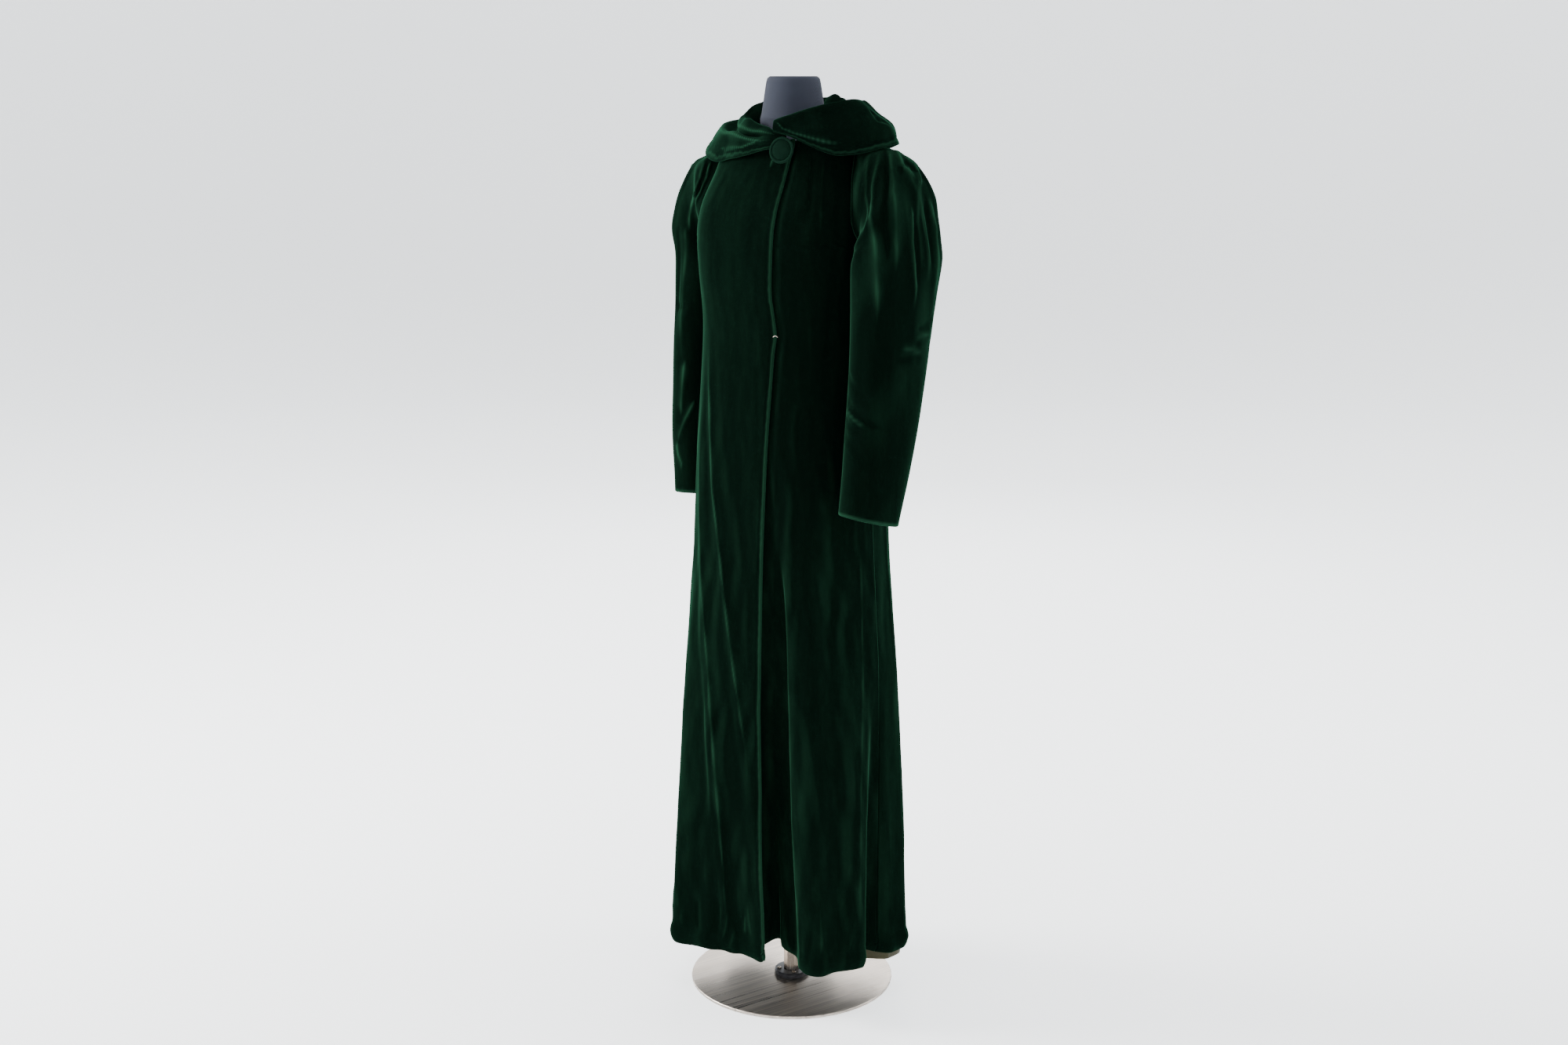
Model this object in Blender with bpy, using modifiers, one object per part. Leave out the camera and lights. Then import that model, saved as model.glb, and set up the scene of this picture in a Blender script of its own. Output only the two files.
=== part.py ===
"""Full-length velvet coat on a limbless dress form with a steel pole and base.

Metres, +Z up. The origin is the centre of the base plate's underside. The coat faces -Y and
the wearer's left is +X. Angles go round the body from the centre front, positive to +X.
"""
import math

import bmesh
import bpy
from mathutils import Matrix, Vector

# Cloth
WALL = 0.0026
COLLAR_WALL = 0.0024
GAP = 0.0004
LAP_INSET = WALL + 0.0040
LAP_START = 1.5
LAP_WIDTH = 7.0
HEM = 0.086
HEM_ROLL_HEIGHT = 0.036
HEM_ROLL_DEPTH = 0.0035
HEM_LIFT = 0.14
HEM_LIFT_REACH = 0.30
SEAM_MARGIN = 0.004
RIGHT_COLUMNS = 20
LEFT_COLUMNS = 26
BACK_COLUMNS = 24
HEM_RISES = (0.0, 0.012, HEM_ROLL_HEIGHT)
SKIRT_SHARES = (0.11, 0.21, 0.31, 0.41, 0.51, 0.61, 0.71, 0.80, 0.88, 0.94, 1.0)
NECK_SHARES = (0.5, 1.0)

# The coat's body without its folds, from hem to neck. A section is a superellipse.
BODY_SECTIONS = (
    # height, half_width, half_depth, centre_y, squareness
    (0.060, 0.205, 0.153, -0.002, 2.40),
    (0.300, 0.196, 0.149, -0.002, 2.40),
    (0.550, 0.184, 0.144, -0.002, 2.40),
    (0.800, 0.169, 0.138, -0.003, 2.40),
    (0.950, 0.162, 0.134, -0.003, 2.40),
    (1.080, 0.154, 0.128, -0.003, 2.35),
    (1.180, 0.149, 0.125, -0.003, 2.35),
    (1.270, 0.154, 0.131, -0.002, 2.45),
    (1.330, 0.158, 0.130, 0.000, 2.50),
    (1.370, 0.155, 0.121, 0.001, 2.42),
    (1.394, 0.149, 0.111, 0.002, 2.34),
    (1.420, 0.139, 0.099, 0.003, 2.25),
    (1.449, 0.131, 0.087, 0.003, 2.15),
    (1.474, 0.124, 0.076, 0.003, 2.10),
    (1.490, 0.091, 0.068, 0.003, 2.05),
    (1.506, 0.058, 0.062, 0.003, 2.00),
    (1.514, 0.042, 0.058, 0.003, 2.00),
)

# Folds run down the cloth between two angles. Depth out is positive: it peaks halfway down
# with "mid" and grows towards the hem with "hem". Under folds are in the left front alone.
FOLDS = (
    # start_height, angle_start, angle_hem, width_start, width_hem, mid, hem, under
    (1.080, -50.0, -10.0, 9.0, 9.0, 0.005, 0.003, False),
    (1.180, -41.0, 24.0, 9.0, 8.0, 0.005, 0.000, False),
    (0.800, -54.0, -43.0, 20.0, 17.0, 0.004, 0.034, False),
    (0.600, -28.0, -27.0, 10.0, 9.0, 0.000, 0.009, False),
    (0.600, -2.0, -2.0, 26.0, 24.0, 0.000, -0.010, False),
    (0.980, 23.0, 20.5, 9.0, 24.0, -0.010, -0.074, True),
    (0.900, 44.0, 48.0, 14.0, 13.0, 0.004, 0.016, False),
    (0.780, 70.0, 66.0, 9.0, 9.0, 0.005, 0.002, False),
    (0.620, 86.0, 84.0, 8.0, 12.0, -0.008, -0.046, False),
    (0.850, 108.0, 106.0, 13.0, 12.0, 0.003, 0.010, False),
    (0.760, 128.0, 127.0, 12.0, 11.0, -0.003, -0.018, False),
    (0.900, 148.0, 149.0, 14.0, 13.0, 0.003, 0.012, False),
    (0.820, 168.0, 171.0, 12.0, 12.0, -0.002, -0.014, False),
    (0.980, 192.0, 193.0, 14.0, 13.0, 0.004, 0.014, False),
    (0.760, 214.0, 215.0, 12.0, 12.0, -0.002, -0.018, False),
    (0.880, 236.0, 238.0, 14.0, 13.0, 0.004, 0.012, False),
    (0.700, 258.0, 260.0, 12.0, 12.0, -0.003, -0.020, False),
    (0.840, 279.0, 281.0, 12.0, 11.0, 0.003, 0.008, False),
)

# The upper front's edge, as its distance from the centre front, and the under front's.
FRONT_EDGE = (
    # height, upper_x, under_x
    (0.060, 0.0480, -0.040),
    (0.137, 0.0445, -0.040),
    (0.300, 0.0385, -0.044),
    (0.550, 0.0325, -0.046),
    (0.800, 0.0350, -0.046),
    (1.000, 0.0405, -0.042),
    (1.140, 0.0480, -0.034),
    (1.169, 0.0525, -0.032),
    (1.232, 0.0450, -0.030),
    (1.295, 0.0475, -0.028),
    (1.376, 0.0480, -0.026),
    (1.430, 0.0475, -0.024),
    (1.506, 0.0500, -0.022),
)

# Neckline and armhole
NECK_CENTRE_Y = 0.003
NECK_SIDE_HEIGHT = 1.506
NECK_FRONT_DROP = 0.031
NECK_BACK_DROP = 0.014
ARMHOLE_LOW = 1.310
ARMHOLE_HIGH = 1.474
ARMHOLE_HALF_ANGLE = 16.5
ARMHOLE_SKEW = 0.60
CUFF_LEAN = 0.45
ARMHOLE_STEPS = 8

# Sleeve: head rings swing about the underarm, then hang as level rings down to the cuff.
SLEEVE_SIDES = 48
SLEEVE_PLEATS = 12
UNDERARM_X = 0.163
UNDERARM_Z = 1.298
UNDERARM_RADIUS = 0.007
LEFT_SLEEVE_HEAD = (
    # swing, reach, half_depth, pleat_depth, centre_y, squareness
    (4.0, 0.172, 0.062, 0.0035, 0.000, 2.2),
    (15.0, 0.166, 0.068, 0.0050, 0.000, 2.3),
    (28.0, 0.151, 0.074, 0.0045, -0.006, 2.6),
    (41.0, 0.131, 0.083, 0.0035, -0.013, 3.1),
    (56.0, 0.113, 0.085, 0.0022, -0.017, 3.1),
    (72.0, 0.105, 0.087, 0.0010, -0.020, 3.1),
)
RIGHT_SLEEVE_HEAD = (
    # swing, reach, half_depth, pleat_depth, centre_y, squareness
    (4.0, 0.150, 0.056, 0.0035, 0.012, 2.2),
    (15.0, 0.148, 0.055, 0.0050, 0.028, 2.2),
    (28.0, 0.143, 0.057, 0.0045, 0.042, 2.2),
    (41.0, 0.134, 0.060, 0.0035, 0.051, 2.2),
    (56.0, 0.120, 0.064, 0.0022, 0.055, 2.2),
    (72.0, 0.111, 0.067, 0.0010, 0.056, 2.2),
)
LEFT_SLEEVE_HANG = (
    # height, centre_x, centre_y, half_width, half_depth, tilt_back, squareness
    (1.285, 0.2170, -0.0215, 0.0530, 0.0840, 0.00, 3.1),
    (1.210, 0.2165, -0.0285, 0.0515, 0.0810, 0.10, 2.6),
    (1.110, 0.2155, -0.0410, 0.0500, 0.0760, 0.13, 2.4),
    (0.960, 0.2130, -0.0680, 0.0465, 0.0640, 0.20, 2.2),
    (0.881, 0.2110, -0.0857, 0.0425, 0.0575, 0.24, 2.2),
)
RIGHT_SLEEVE_HANG = (
    # height, centre_x, centre_y, half_width, half_depth, tilt_back, squareness
    (1.285, 0.2145, 0.054, 0.0490, 0.0680, 0.00, 2.2),
    (1.210, 0.2140, 0.047, 0.0475, 0.0665, 0.06, 2.2),
    (1.110, 0.2130, 0.038, 0.0465, 0.0645, 0.08, 2.2),
    (0.960, 0.2120, 0.026, 0.0440, 0.0595, 0.08, 2.2),
    (0.863, 0.2101, 0.020, 0.0409, 0.0546, 0.10, 2.2),
)

# Collar: at each angle the cloth rises from its seam over a crest, then dips, swells and ends.
COLLAR_LEFT = (
    # angle, seam_lift, seam_out, crest_r, crest_h, dip_r, dip_h, swell_r, swell_h, edge_r, edge_h
    (17.0, 0.0215, 0.0065, 0.097, 1.512, 0.106, 1.506, 0.108, 1.500, 0.106, 1.4940),
    (31.0, 0.0140, 0.0040, 0.101, 1.520, 0.110, 1.512, 0.113, 1.500, 0.110, 1.4875),
    (47.5, 0.0000, 0.0000, 0.108, 1.529, 0.115, 1.517, 0.118, 1.496, 0.115, 1.4730),
    (62.0, 0.0000, 0.0000, 0.114, 1.536, 0.127, 1.518, 0.139, 1.489, 0.142, 1.4590),
    (70.0, 0.0000, 0.0000, 0.121, 1.539, 0.137, 1.520, 0.154, 1.490, 0.161, 1.4600),
    (77.0, 0.0000, 0.0000, 0.126, 1.542, 0.144, 1.523, 0.166, 1.493, 0.176, 1.4640),
    (83.0, 0.0000, 0.0000, 0.129, 1.543, 0.150, 1.525, 0.177, 1.499, 0.189, 1.4700),
    (90.0, 0.0000, 0.0000, 0.129, 1.542, 0.154, 1.524, 0.185, 1.503, 0.200, 1.4765),
    (110.0, 0.0000, 0.0000, 0.122, 1.535, 0.141, 1.518, 0.164, 1.500, 0.173, 1.4710),
    (130.0, 0.0000, 0.0000, 0.113, 1.536, 0.129, 1.520, 0.149, 1.498, 0.157, 1.4640),
    (150.0, 0.0000, 0.0000, 0.104, 1.538, 0.119, 1.522, 0.135, 1.498, 0.141, 1.4560),
    (161.0, 0.0000, 0.0000, 0.102, 1.541, 0.116, 1.523, 0.130, 1.497, 0.136, 1.4530),
    (171.0, 0.0000, 0.0000, 0.101, 1.549, 0.114, 1.527, 0.126, 1.497, 0.132, 1.4500),
    (180.0, 0.0000, 0.0000, 0.100, 1.544, 0.113, 1.526, 0.124, 1.497, 0.130, 1.4490),
)
COLLAR_RIGHT = (
    # angle, seam_lift, seam_out, crest_r, crest_h, dip_r, dip_h, swell_r, swell_h, edge_r, edge_h
    (-180.0, 0.0000, 0.0000, 0.100, 1.544, 0.113, 1.526, 0.124, 1.497, 0.130, 1.4490),
    (-150.0, 0.0000, 0.0000, 0.092, 1.543, 0.107, 1.523, 0.124, 1.498, 0.138, 1.4550),
    (-130.0, 0.0000, 0.0000, 0.085, 1.540, 0.102, 1.520, 0.127, 1.502, 0.150, 1.4620),
    (-108.0, 0.0000, 0.0000, 0.079, 1.537, 0.103, 1.511, 0.133, 1.508, 0.165, 1.4680),
    (-90.0, 0.0000, 0.0000, 0.083, 1.529, 0.109, 1.497, 0.138, 1.504, 0.171, 1.4680),
    (-78.0, 0.0000, 0.0000, 0.085, 1.517, 0.104, 1.490, 0.129, 1.495, 0.160, 1.4540),
    (-60.0, 0.0000, 0.0000, 0.080, 1.511, 0.096, 1.485, 0.115, 1.488, 0.131, 1.4440),
    (-40.0, 0.0000, 0.0000, 0.075, 1.511, 0.089, 1.487, 0.100, 1.488, 0.109, 1.4490),
    (-19.0, 0.0000, 0.0000, 0.073, 1.505, 0.086, 1.485, 0.094, 1.483, 0.099, 1.4560),
    (-1.0, 0.0000, 0.0000, 0.075, 1.500, 0.086, 1.486, 0.093, 1.481, 0.097, 1.4630),
    (13.0, 0.0000, 0.0000, 0.080, 1.494, 0.092, 1.485, 0.096, 1.479, 0.100, 1.4680),
    (27.0, 0.0000, 0.0000, 0.084, 1.490, 0.095, 1.484, 0.099, 1.478, 0.102, 1.4670),
)
COLLAR_ANGLE_STEP = 10.0
COLLAR_MARGIN = 1.5
COLLAR_PROFILE_STEPS = 12
COLLAR_SEAM_LIFT = 0.0022
STAND_RISE = 0.50
STAND_LEAN = 0.35
CREST_HALF_WIDTH = 0.0045
CREST_ROUND = 0.0010

# Fastenings
BUTTON_CENTRE = Vector((0.0449, -0.0921, 1.4638))
BUTTON_TURN = 8.0
BUTTON_TILT_UP = 14.0
BUTTON_RADIUS = 0.0166
BUTTON_DOME = 0.0045
BUTTON_THICKNESS = 0.0075
RIM_CORD_RADIUS = 0.0023
HOOK_HEIGHT = 1.169
HOOK_WIRE = 0.0006
HOOK_LENGTH = 0.009
HOOK_BOW = 0.0022
HOOK_STAND_OFF = 0.0008

# Lining strip that shows below the hem
LINING_ANGLES = (86.0, 108.0)
LINING_BOTTOM = 0.074
LINING_INSET = WALL + 0.0012
LINING_WALL = 0.0012

# Dress form: it fills the coat at the shoulders and is slimmer than it below.
FORM_SEAT = WALL + 0.0011
FORM_INSETS = (
    # height, inset
    (0.800, 0.030),
    (0.812, 0.022),
    (0.900, 0.015),
    (1.020, 0.012),
    (1.180, 0.010),
    (1.330, 0.010),
    (1.420, 0.008),
    (1.455, 0.006),
    (1.474, FORM_SEAT),
)
FORM_FRONT_EXTRA = 0.0080
FORM_SIDES = 32
FORM_SLOPE_HEIGHT = 1.43
NECK_SECTIONS = (
    # height, radius
    (1.512, 0.0545),
    (1.522, 0.0520),
    (1.546, 0.0485),
    (1.570, 0.0448),
    (1.577, 0.0425),
    (1.580, 0.0385),
)

# Stand
BASE_RADIUS = 0.1795
BASE_THICKNESS = 0.0050
BASE_CHAMFER = 0.0008
POLE_RADIUS = 0.0140
POLE_FLUTES = 8
POLE_FLUTE_DEPTH = 0.0011
FLANGE_RADIUS = 0.0305
FLANGE_BORE = POLE_RADIUS + 0.0003
FLANGE_THICKNESS = 0.0080
SCREW_CIRCLE = 0.0225
SCREW_RADIUS = 0.0040
SCREW_HEIGHT = 0.0022
SCREW_SOCKET = 0.0020
TOUCH = 0.0003


def lerp_rows(rows, value):
    """Read a table at a value in its first column, with straight lines between the rows."""
    if value <= rows[0][0]:
        return rows[0][1:]
    for low, high in zip(rows, rows[1:]):
        if value <= high[0]:
            share = (value - low[0]) / (high[0] - low[0])
            return tuple(a + (b - a) * share for a, b in zip(low[1:], high[1:]))
    return rows[-1][1:]


def smooth_rows(rows, value):
    """Read a table with a smooth curve through its rows."""
    last = len(rows) - 1
    if value <= rows[0][0]:
        return rows[0][1:]
    if value >= rows[last][0]:
        return rows[last][1:]
    index = next(i for i in range(last) if value <= rows[i + 1][0])
    low, high = rows[index], rows[index + 1]
    before, after = rows[max(index - 1, 0)], rows[min(index + 2, last)]
    span = high[0] - low[0]
    t = (value - low[0]) / span
    result = []
    for k in range(1, len(low)):
        rise_low = (high[k] - before[k]) / (high[0] - before[0]) * span
        rise_high = (after[k] - low[k]) / (after[0] - low[0]) * span
        result.append(
            low[k] * (2 * t**3 - 3 * t**2 + 1)
            + rise_low * (t**3 - 2 * t**2 + t)
            + high[k] * (3 * t**2 - 2 * t**3)
            + rise_high * (t**3 - t**2)
        )
    return tuple(result)


def smooth_step(value):
    value = min(max(value, 0.0), 1.0)
    return value * value * (3.0 - 2.0 * value)


def superellipse_radius(angle, half_width, half_depth, squareness):
    across = abs(math.sin(angle)) / half_width
    along = abs(math.cos(angle)) / half_depth
    return (across**squareness + along**squareness) ** (-1.0 / squareness)


def fold_depth(degrees, height, under):
    """How far the folds push the cloth out at an angle and height."""
    total = 0.0
    for start, angle_start, angle_hem, width_start, width_hem, mid, hem, is_under in FOLDS:
        if height >= start or (is_under and not under):
            continue
        down = (start - height) / (start - HEM)
        middle = angle_start + (angle_hem - angle_start) * down
        width = width_start + (width_hem - width_start) * down
        off = (degrees - middle + 180.0) % 360.0 - 180.0
        if abs(off) >= width:
            continue
        swell = math.cos(math.pi / 2 * off / width) ** 2
        total += swell * (mid * math.sin(math.pi * min(down, 1.0)) + hem * down**1.6)
    return total


def hem_height(degrees, under):
    """The hem lifts a little in each trough and drops on each ridge."""
    return HEM - HEM_LIFT * fold_depth(degrees, HEM, under)


def hem_roll(height, hem):
    """The soft rolled hem swells out, then turns under."""
    up = (height - hem) / HEM_ROLL_HEIGHT
    if up >= 1.0:
        return 0.0
    return HEM_ROLL_DEPTH * (math.sin(math.pi * max(up, 0.0)) - 1.2 * (1.0 - max(up, 0.0)) ** 3)


def body_face(degrees, height, under, folded):
    """A point of the coat's outer face."""
    half_width, half_depth, centre_y, squareness = smooth_rows(BODY_SECTIONS, height)
    angle = math.radians(degrees)
    radius = superellipse_radius(angle, half_width, half_depth, squareness)
    if folded:
        radius += fold_depth(degrees, height, under)
        radius += hem_roll(height, hem_height(degrees, under))
    return Vector((radius * math.sin(angle), centre_y - radius * math.cos(angle), height))


def body_point(degrees, height, inset=0.0, under=False, folded=True):
    """A point of the coat's outer face, or that far inside it."""
    point = body_face(degrees, height, under, folded)
    if inset == 0.0:
        return point
    step = 0.002
    across = body_face(degrees + 0.8, height, under, folded)
    across -= body_face(degrees - 0.8, height, under, folded)
    up = body_face(degrees, height + step, under, folded)
    up -= body_face(degrees, height - step, under, folded)
    return point - across.cross(up).normalized() * inset


def polar_point(angle, radius, height):
    """A point about the neck's axis."""
    return Vector((radius * math.sin(angle), NECK_CENTRE_Y - radius * math.cos(angle), height))


def collar_radius(point):
    """A point's distance from the neck's axis."""
    return math.hypot(point.x, point.y - NECK_CENTRE_Y)


def angle_at_x(x, height):
    """The angle at which the coat's front reaches a distance from the centre front."""
    half_width, half_depth, _, squareness = smooth_rows(BODY_SECTIONS, height)
    depth = half_depth * (1.0 - (abs(x) / half_width) ** squareness) ** (1.0 / squareness)
    return math.degrees(math.atan2(x, depth))


def neckline_height(degrees):
    facing = math.cos(math.radians(degrees))
    drop = NECK_FRONT_DROP if facing > 0 else NECK_BACK_DROP
    return NECK_SIDE_HEIGHT - drop * abs(facing) ** 1.3


def armhole_half_angle(height):
    """Half the armhole's angle about the side at a height, or none above and below it."""
    middle = (ARMHOLE_HIGH + ARMHOLE_LOW) / 2
    up = (height - middle) / (ARMHOLE_HIGH - middle)
    if abs(up) >= 1.0:
        return 0.0
    return ARMHOLE_HALF_ANGLE * math.sqrt(1.0 - up * up) * (1.0 - ARMHOLE_SKEW * up)


def armhole_corner(side, index):
    """A corner of the armhole's edge. Index 0 is its top, then forward and round."""
    middle = (ARMHOLE_HIGH + ARMHOLE_LOW) / 2
    turn = math.pi * index / ARMHOLE_STEPS
    height = middle + (ARMHOLE_HIGH - middle) * math.cos(turn)
    half = armhole_half_angle(height)
    forward = -1.0 if math.sin(turn) > 0 else 1.0
    return body_point(side * (90.0 + forward * half), height)


def panel_rows():
    """Row heights shared by the fronts and the back, from hem to armhole top."""
    rows = [HEM + rise for rise in HEM_RISES]
    rows += [HEM + (HOOK_HEIGHT - HEM) * share for share in SKIRT_SHARES]
    rows.append((HOOK_HEIGHT + ARMHOLE_LOW) / 2)
    middle = (ARMHOLE_HIGH + ARMHOLE_LOW) / 2
    for index in range(ARMHOLE_STEPS + 1):
        rows.append(middle - (ARMHOLE_HIGH - middle) * math.cos(math.pi * index / ARMHOLE_STEPS))
    return rows


def column_shares(first, last, count, under):
    """Shares of a panel's angle that give columns of like width at its folded hem.

    A narrow margin column stands at each side seam and edge.
    """
    steps = 240
    points = [panel_point(first + (last - first) * i / steps, HEM, under, 0.0) for i in range(steps + 1)]
    lengths = [0.0]
    for before, after in zip(points, points[1:]):
        lengths.append(lengths[-1] + (after - before).length)
    shares = [0.0, SEAM_MARGIN]
    for column in range(1, count - 2):
        target = lengths[-1] * column / (count - 2)
        index = next(i for i, length in enumerate(lengths) if length >= target)
        part = (target - lengths[index - 1]) / (lengths[index] - lengths[index - 1])
        shares.append((index - 1 + part) / steps)
    return shares + [1.0 - SEAM_MARGIN, 1.0]


def panel_point(degrees, row_height, under, lap):
    """A point of a panel, with its rows bent to follow the hem."""
    lift = hem_height(degrees, under) - HEM
    height = row_height + lift * (1.0 - smooth_step((row_height - HEM) / HEM_LIFT_REACH))
    return body_point(degrees, height, inset=lap, under=under)


def lap_inset(degrees, height):
    """The under front lies inside the upper front and comes out past its edge."""
    edge = angle_at_x(lerp_rows(FRONT_EDGE, height)[0], height)
    return LAP_INSET * (1.0 - smooth_step((degrees - edge - LAP_START) / LAP_WIDTH))


def panel_grid(start_angle, end_angle, columns, under=False):
    """Rows of points, with the edges' angles given as functions of the height."""
    shares = column_shares(start_angle(HEM), end_angle(HEM), columns, under)
    grid = []
    for row_height in panel_rows():
        first, last = start_angle(row_height), end_angle(row_height)
        row = []
        for share in shares:
            degrees = first + (last - first) * share
            lap = lap_inset(degrees, row_height) if under else 0.0
            row.append(panel_point(degrees, row_height, under, lap))
        grid.append(row)
    top = panel_rows()[-1]
    first, last = start_angle(top), end_angle(top)
    for rise in NECK_SHARES:
        row = []
        for share in shares:
            degrees = first + (last - first) * share
            height = top + (neckline_height(degrees) - top) * rise
            lap = lap_inset(degrees, top) if under else 0.0
            row.append(body_point(degrees, height, inset=lap, under=under))
        grid.append(row)
    return grid


def side_gap_angle(height):
    """The angle that leaves half a seam's gap at the side."""
    half_width = smooth_rows(BODY_SECTIONS, height)[0]
    return math.degrees(GAP / 2 / half_width)


def new_material(name, colour, roughness, metallic=0.0):
    material = bpy.data.materials.new(name)
    material.use_nodes = True
    shader = material.node_tree.nodes["Principled BSDF"]
    shader.inputs["Base Color"].default_value = (*colour, 1.0)
    shader.inputs["Roughness"].default_value = roughness
    shader.inputs["Metallic"].default_value = metallic
    return material


def new_object(name, mesh_data, material, collection):
    mesh = bpy.data.meshes.new(name)
    mesh_data.to_mesh(mesh)
    mesh_data.free()
    mesh.materials.append(material)
    mesh.shade_smooth()
    mesh.set_sharp_from_angle(angle=math.radians(40))
    thing = bpy.data.objects.new(name, mesh)
    collection.objects.link(thing)
    return thing


def grid_mesh(grid, closed=False):
    """Faces between rows of points. A closed grid joins each row's end to its start."""
    mesh_data = bmesh.new()
    rows = [[mesh_data.verts.new(point) for point in row] for row in grid]
    count = len(grid[0])
    for lower, upper in zip(rows, rows[1:]):
        for i in range(count if closed else count - 1):
            j = (i + 1) % count
            mesh_data.faces.new((lower[i], lower[j], upper[j], upper[i]))
    return mesh_data


def cloth_shell(name, grid, thickness, material, collection, closed=False):
    """A sheet of cloth: an open grid whose outer face is the grid itself."""
    shell = new_object(name, grid_mesh(grid, closed), material, collection)
    solidify = shell.modifiers.new("Cloth", "SOLIDIFY")
    solidify.thickness = thickness
    solidify.offset = -1.0
    return shell


def upper_edge(height):
    return angle_at_x(lerp_rows(FRONT_EDGE, height)[0], height)


def under_edge(height):
    return angle_at_x(lerp_rows(FRONT_EDGE, height)[1], height)


def left_front_side(height):
    return 90.0 - side_gap_angle(height) - armhole_half_angle(height)


def left_back_side(height):
    return 90.0 + side_gap_angle(height) + armhole_half_angle(height)


def right_front_side(height):
    return -left_front_side(height)


def right_back_side(height):
    return 360.0 - left_back_side(height)


def make_panels(velvet, collection):
    right = panel_grid(right_front_side, upper_edge, RIGHT_COLUMNS)
    cloth_shell("front_right", right, WALL, velvet, collection)
    left = panel_grid(under_edge, left_front_side, LEFT_COLUMNS, under=True)
    cloth_shell("front_left", left, WALL, velvet, collection)
    back = panel_grid(left_back_side, right_back_side, BACK_COLUMNS)
    cloth_shell("back", back, WALL, velvet, collection)


def armhole_ring(side, out, spread):
    """The sleeve's seam ring: the armhole's edge moved off the body and a little outward."""
    corners = [armhole_corner(side, i) for i in range(2 * ARMHOLE_STEPS)]
    centre = sum(corners, Vector()) / len(corners)
    per_edge = SLEEVE_SIDES // len(corners)
    ring = []
    for i in range(SLEEVE_SIDES):
        corner, share = divmod(i, per_edge)
        low, high = corners[corner], corners[(corner + 1) % len(corners)]
        point = low.lerp(high, share / per_edge)
        away = (point - centre).normalized()
        normal = (high - low).cross(away).normalized()
        if normal.x * side < 0:
            normal.negate()
        ring.append(point + normal * out + away * spread)
    return ring


def oval_point(turn, half_long, half_deep, squareness):
    """A point of a rounded, slightly square oval. Turn 0 is its outer end."""
    radius = superellipse_radius(turn, half_deep, half_long, squareness)
    return radius * math.cos(turn), radius * math.sin(turn)


def sleeve_grid(side, head, hang):
    grid = [armhole_ring(side, GAP, 0.0012), armhole_ring(side, 0.005, 0.0025)]
    for swing, reach, half_depth, pleat, centre_y, squareness in head:
        lean = math.radians(swing)
        half = (reach - UNDERARM_RADIUS) / 2
        mid = (reach + UNDERARM_RADIUS) / 2
        ring = []
        for i in range(SLEEVE_SIDES):
            turn = 2 * math.pi * i / SLEEVE_SIDES
            cap = max(0.0, 0.25 + 0.75 * math.cos(turn)) ** 0.7
            crimp = pleat * cap * math.cos(SLEEVE_PLEATS * turn)
            long, deep = oval_point(turn, half + crimp, half_depth + crimp, squareness)
            along = mid + long
            x = UNDERARM_X + along * math.sin(lean)
            z = UNDERARM_Z + along * math.cos(lean)
            ring.append(Vector((side * x, centre_y - deep, z)))
        grid.append(ring)
    for height, centre_x, centre_y, half_width, half_depth, tilt, squareness in hang:
        ring = []
        for i in range(SLEEVE_SIDES):
            turn = 2 * math.pi * i / SLEEVE_SIDES
            across, deep = oval_point(turn, half_width, half_depth, squareness)
            x = side * (centre_x + across)
            ring.append(Vector((x, centre_y - deep, height + tilt * deep - CUFF_LEAN * tilt * across)))
        grid.append(ring)
    return grid


def make_sleeves(velvet, collection):
    left = sleeve_grid(1.0, LEFT_SLEEVE_HEAD, LEFT_SLEEVE_HANG)
    right = sleeve_grid(-1.0, RIGHT_SLEEVE_HEAD, RIGHT_SLEEVE_HANG)
    cloth_shell("sleeve_left", [row[::-1] for row in left][::-1], WALL, velvet, collection, closed=True)
    cloth_shell("sleeve_right", right[::-1], WALL, velvet, collection, closed=True)


def collar_grid(rows):
    """The collar's visible face, from its neck seam over the crest to its edge."""
    first, last = rows[0][0] + COLLAR_MARGIN, rows[-1][0] - COLLAR_MARGIN
    count = round((last - first) / COLLAR_ANGLE_STEP)
    angles = [first + (last - first) * i / count for i in range(count + 1)]
    grid = []
    for degrees in [rows[0][0], *angles, rows[-1][0]]:
        lift, out, *folds = smooth_rows(rows, degrees)
        seam_height = neckline_height(degrees)
        seam_radius = collar_radius(body_point(degrees, seam_height)) + out
        seam_height += lift + COLLAR_SEAM_LIFT
        crest_radius, crest_height = folds[:2]
        profile = [
            (0, seam_radius, seam_height),
            (1, seam_radius + STAND_LEAN * (crest_radius - CREST_HALF_WIDTH - seam_radius),
             seam_height + STAND_RISE * (crest_height - seam_height)),
            (2, crest_radius - CREST_HALF_WIDTH, crest_height - CREST_ROUND),
            (3, crest_radius + CREST_HALF_WIDTH, crest_height - CREST_ROUND),
        ]
        profile += [(k + 3, folds[2 * k], folds[2 * k + 1]) for k in range(1, 4)]
        angle = math.radians(degrees)
        row = []
        for step in range(COLLAR_PROFILE_STEPS):
            radius, height = smooth_rows(profile, 6.0 * step / (COLLAR_PROFILE_STEPS - 1))
            row.append(polar_point(angle, radius, height))
        grid.append(row)
    return grid


def make_collar(velvet, collection):
    half_gap = math.degrees(GAP / 2 / body_point(180.0, neckline_height(180.0)).y)
    left = list(COLLAR_LEFT)
    left[-1] = (180.0 - half_gap, *left[-1][1:])
    right = list(COLLAR_RIGHT)
    right[0] = (-180.0 + half_gap, *right[0][1:])
    for name, rows in (("collar_left", left), ("collar_right", right)):
        cloth_shell(name, collar_grid(rows), COLLAR_WALL, velvet, collection)


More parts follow.
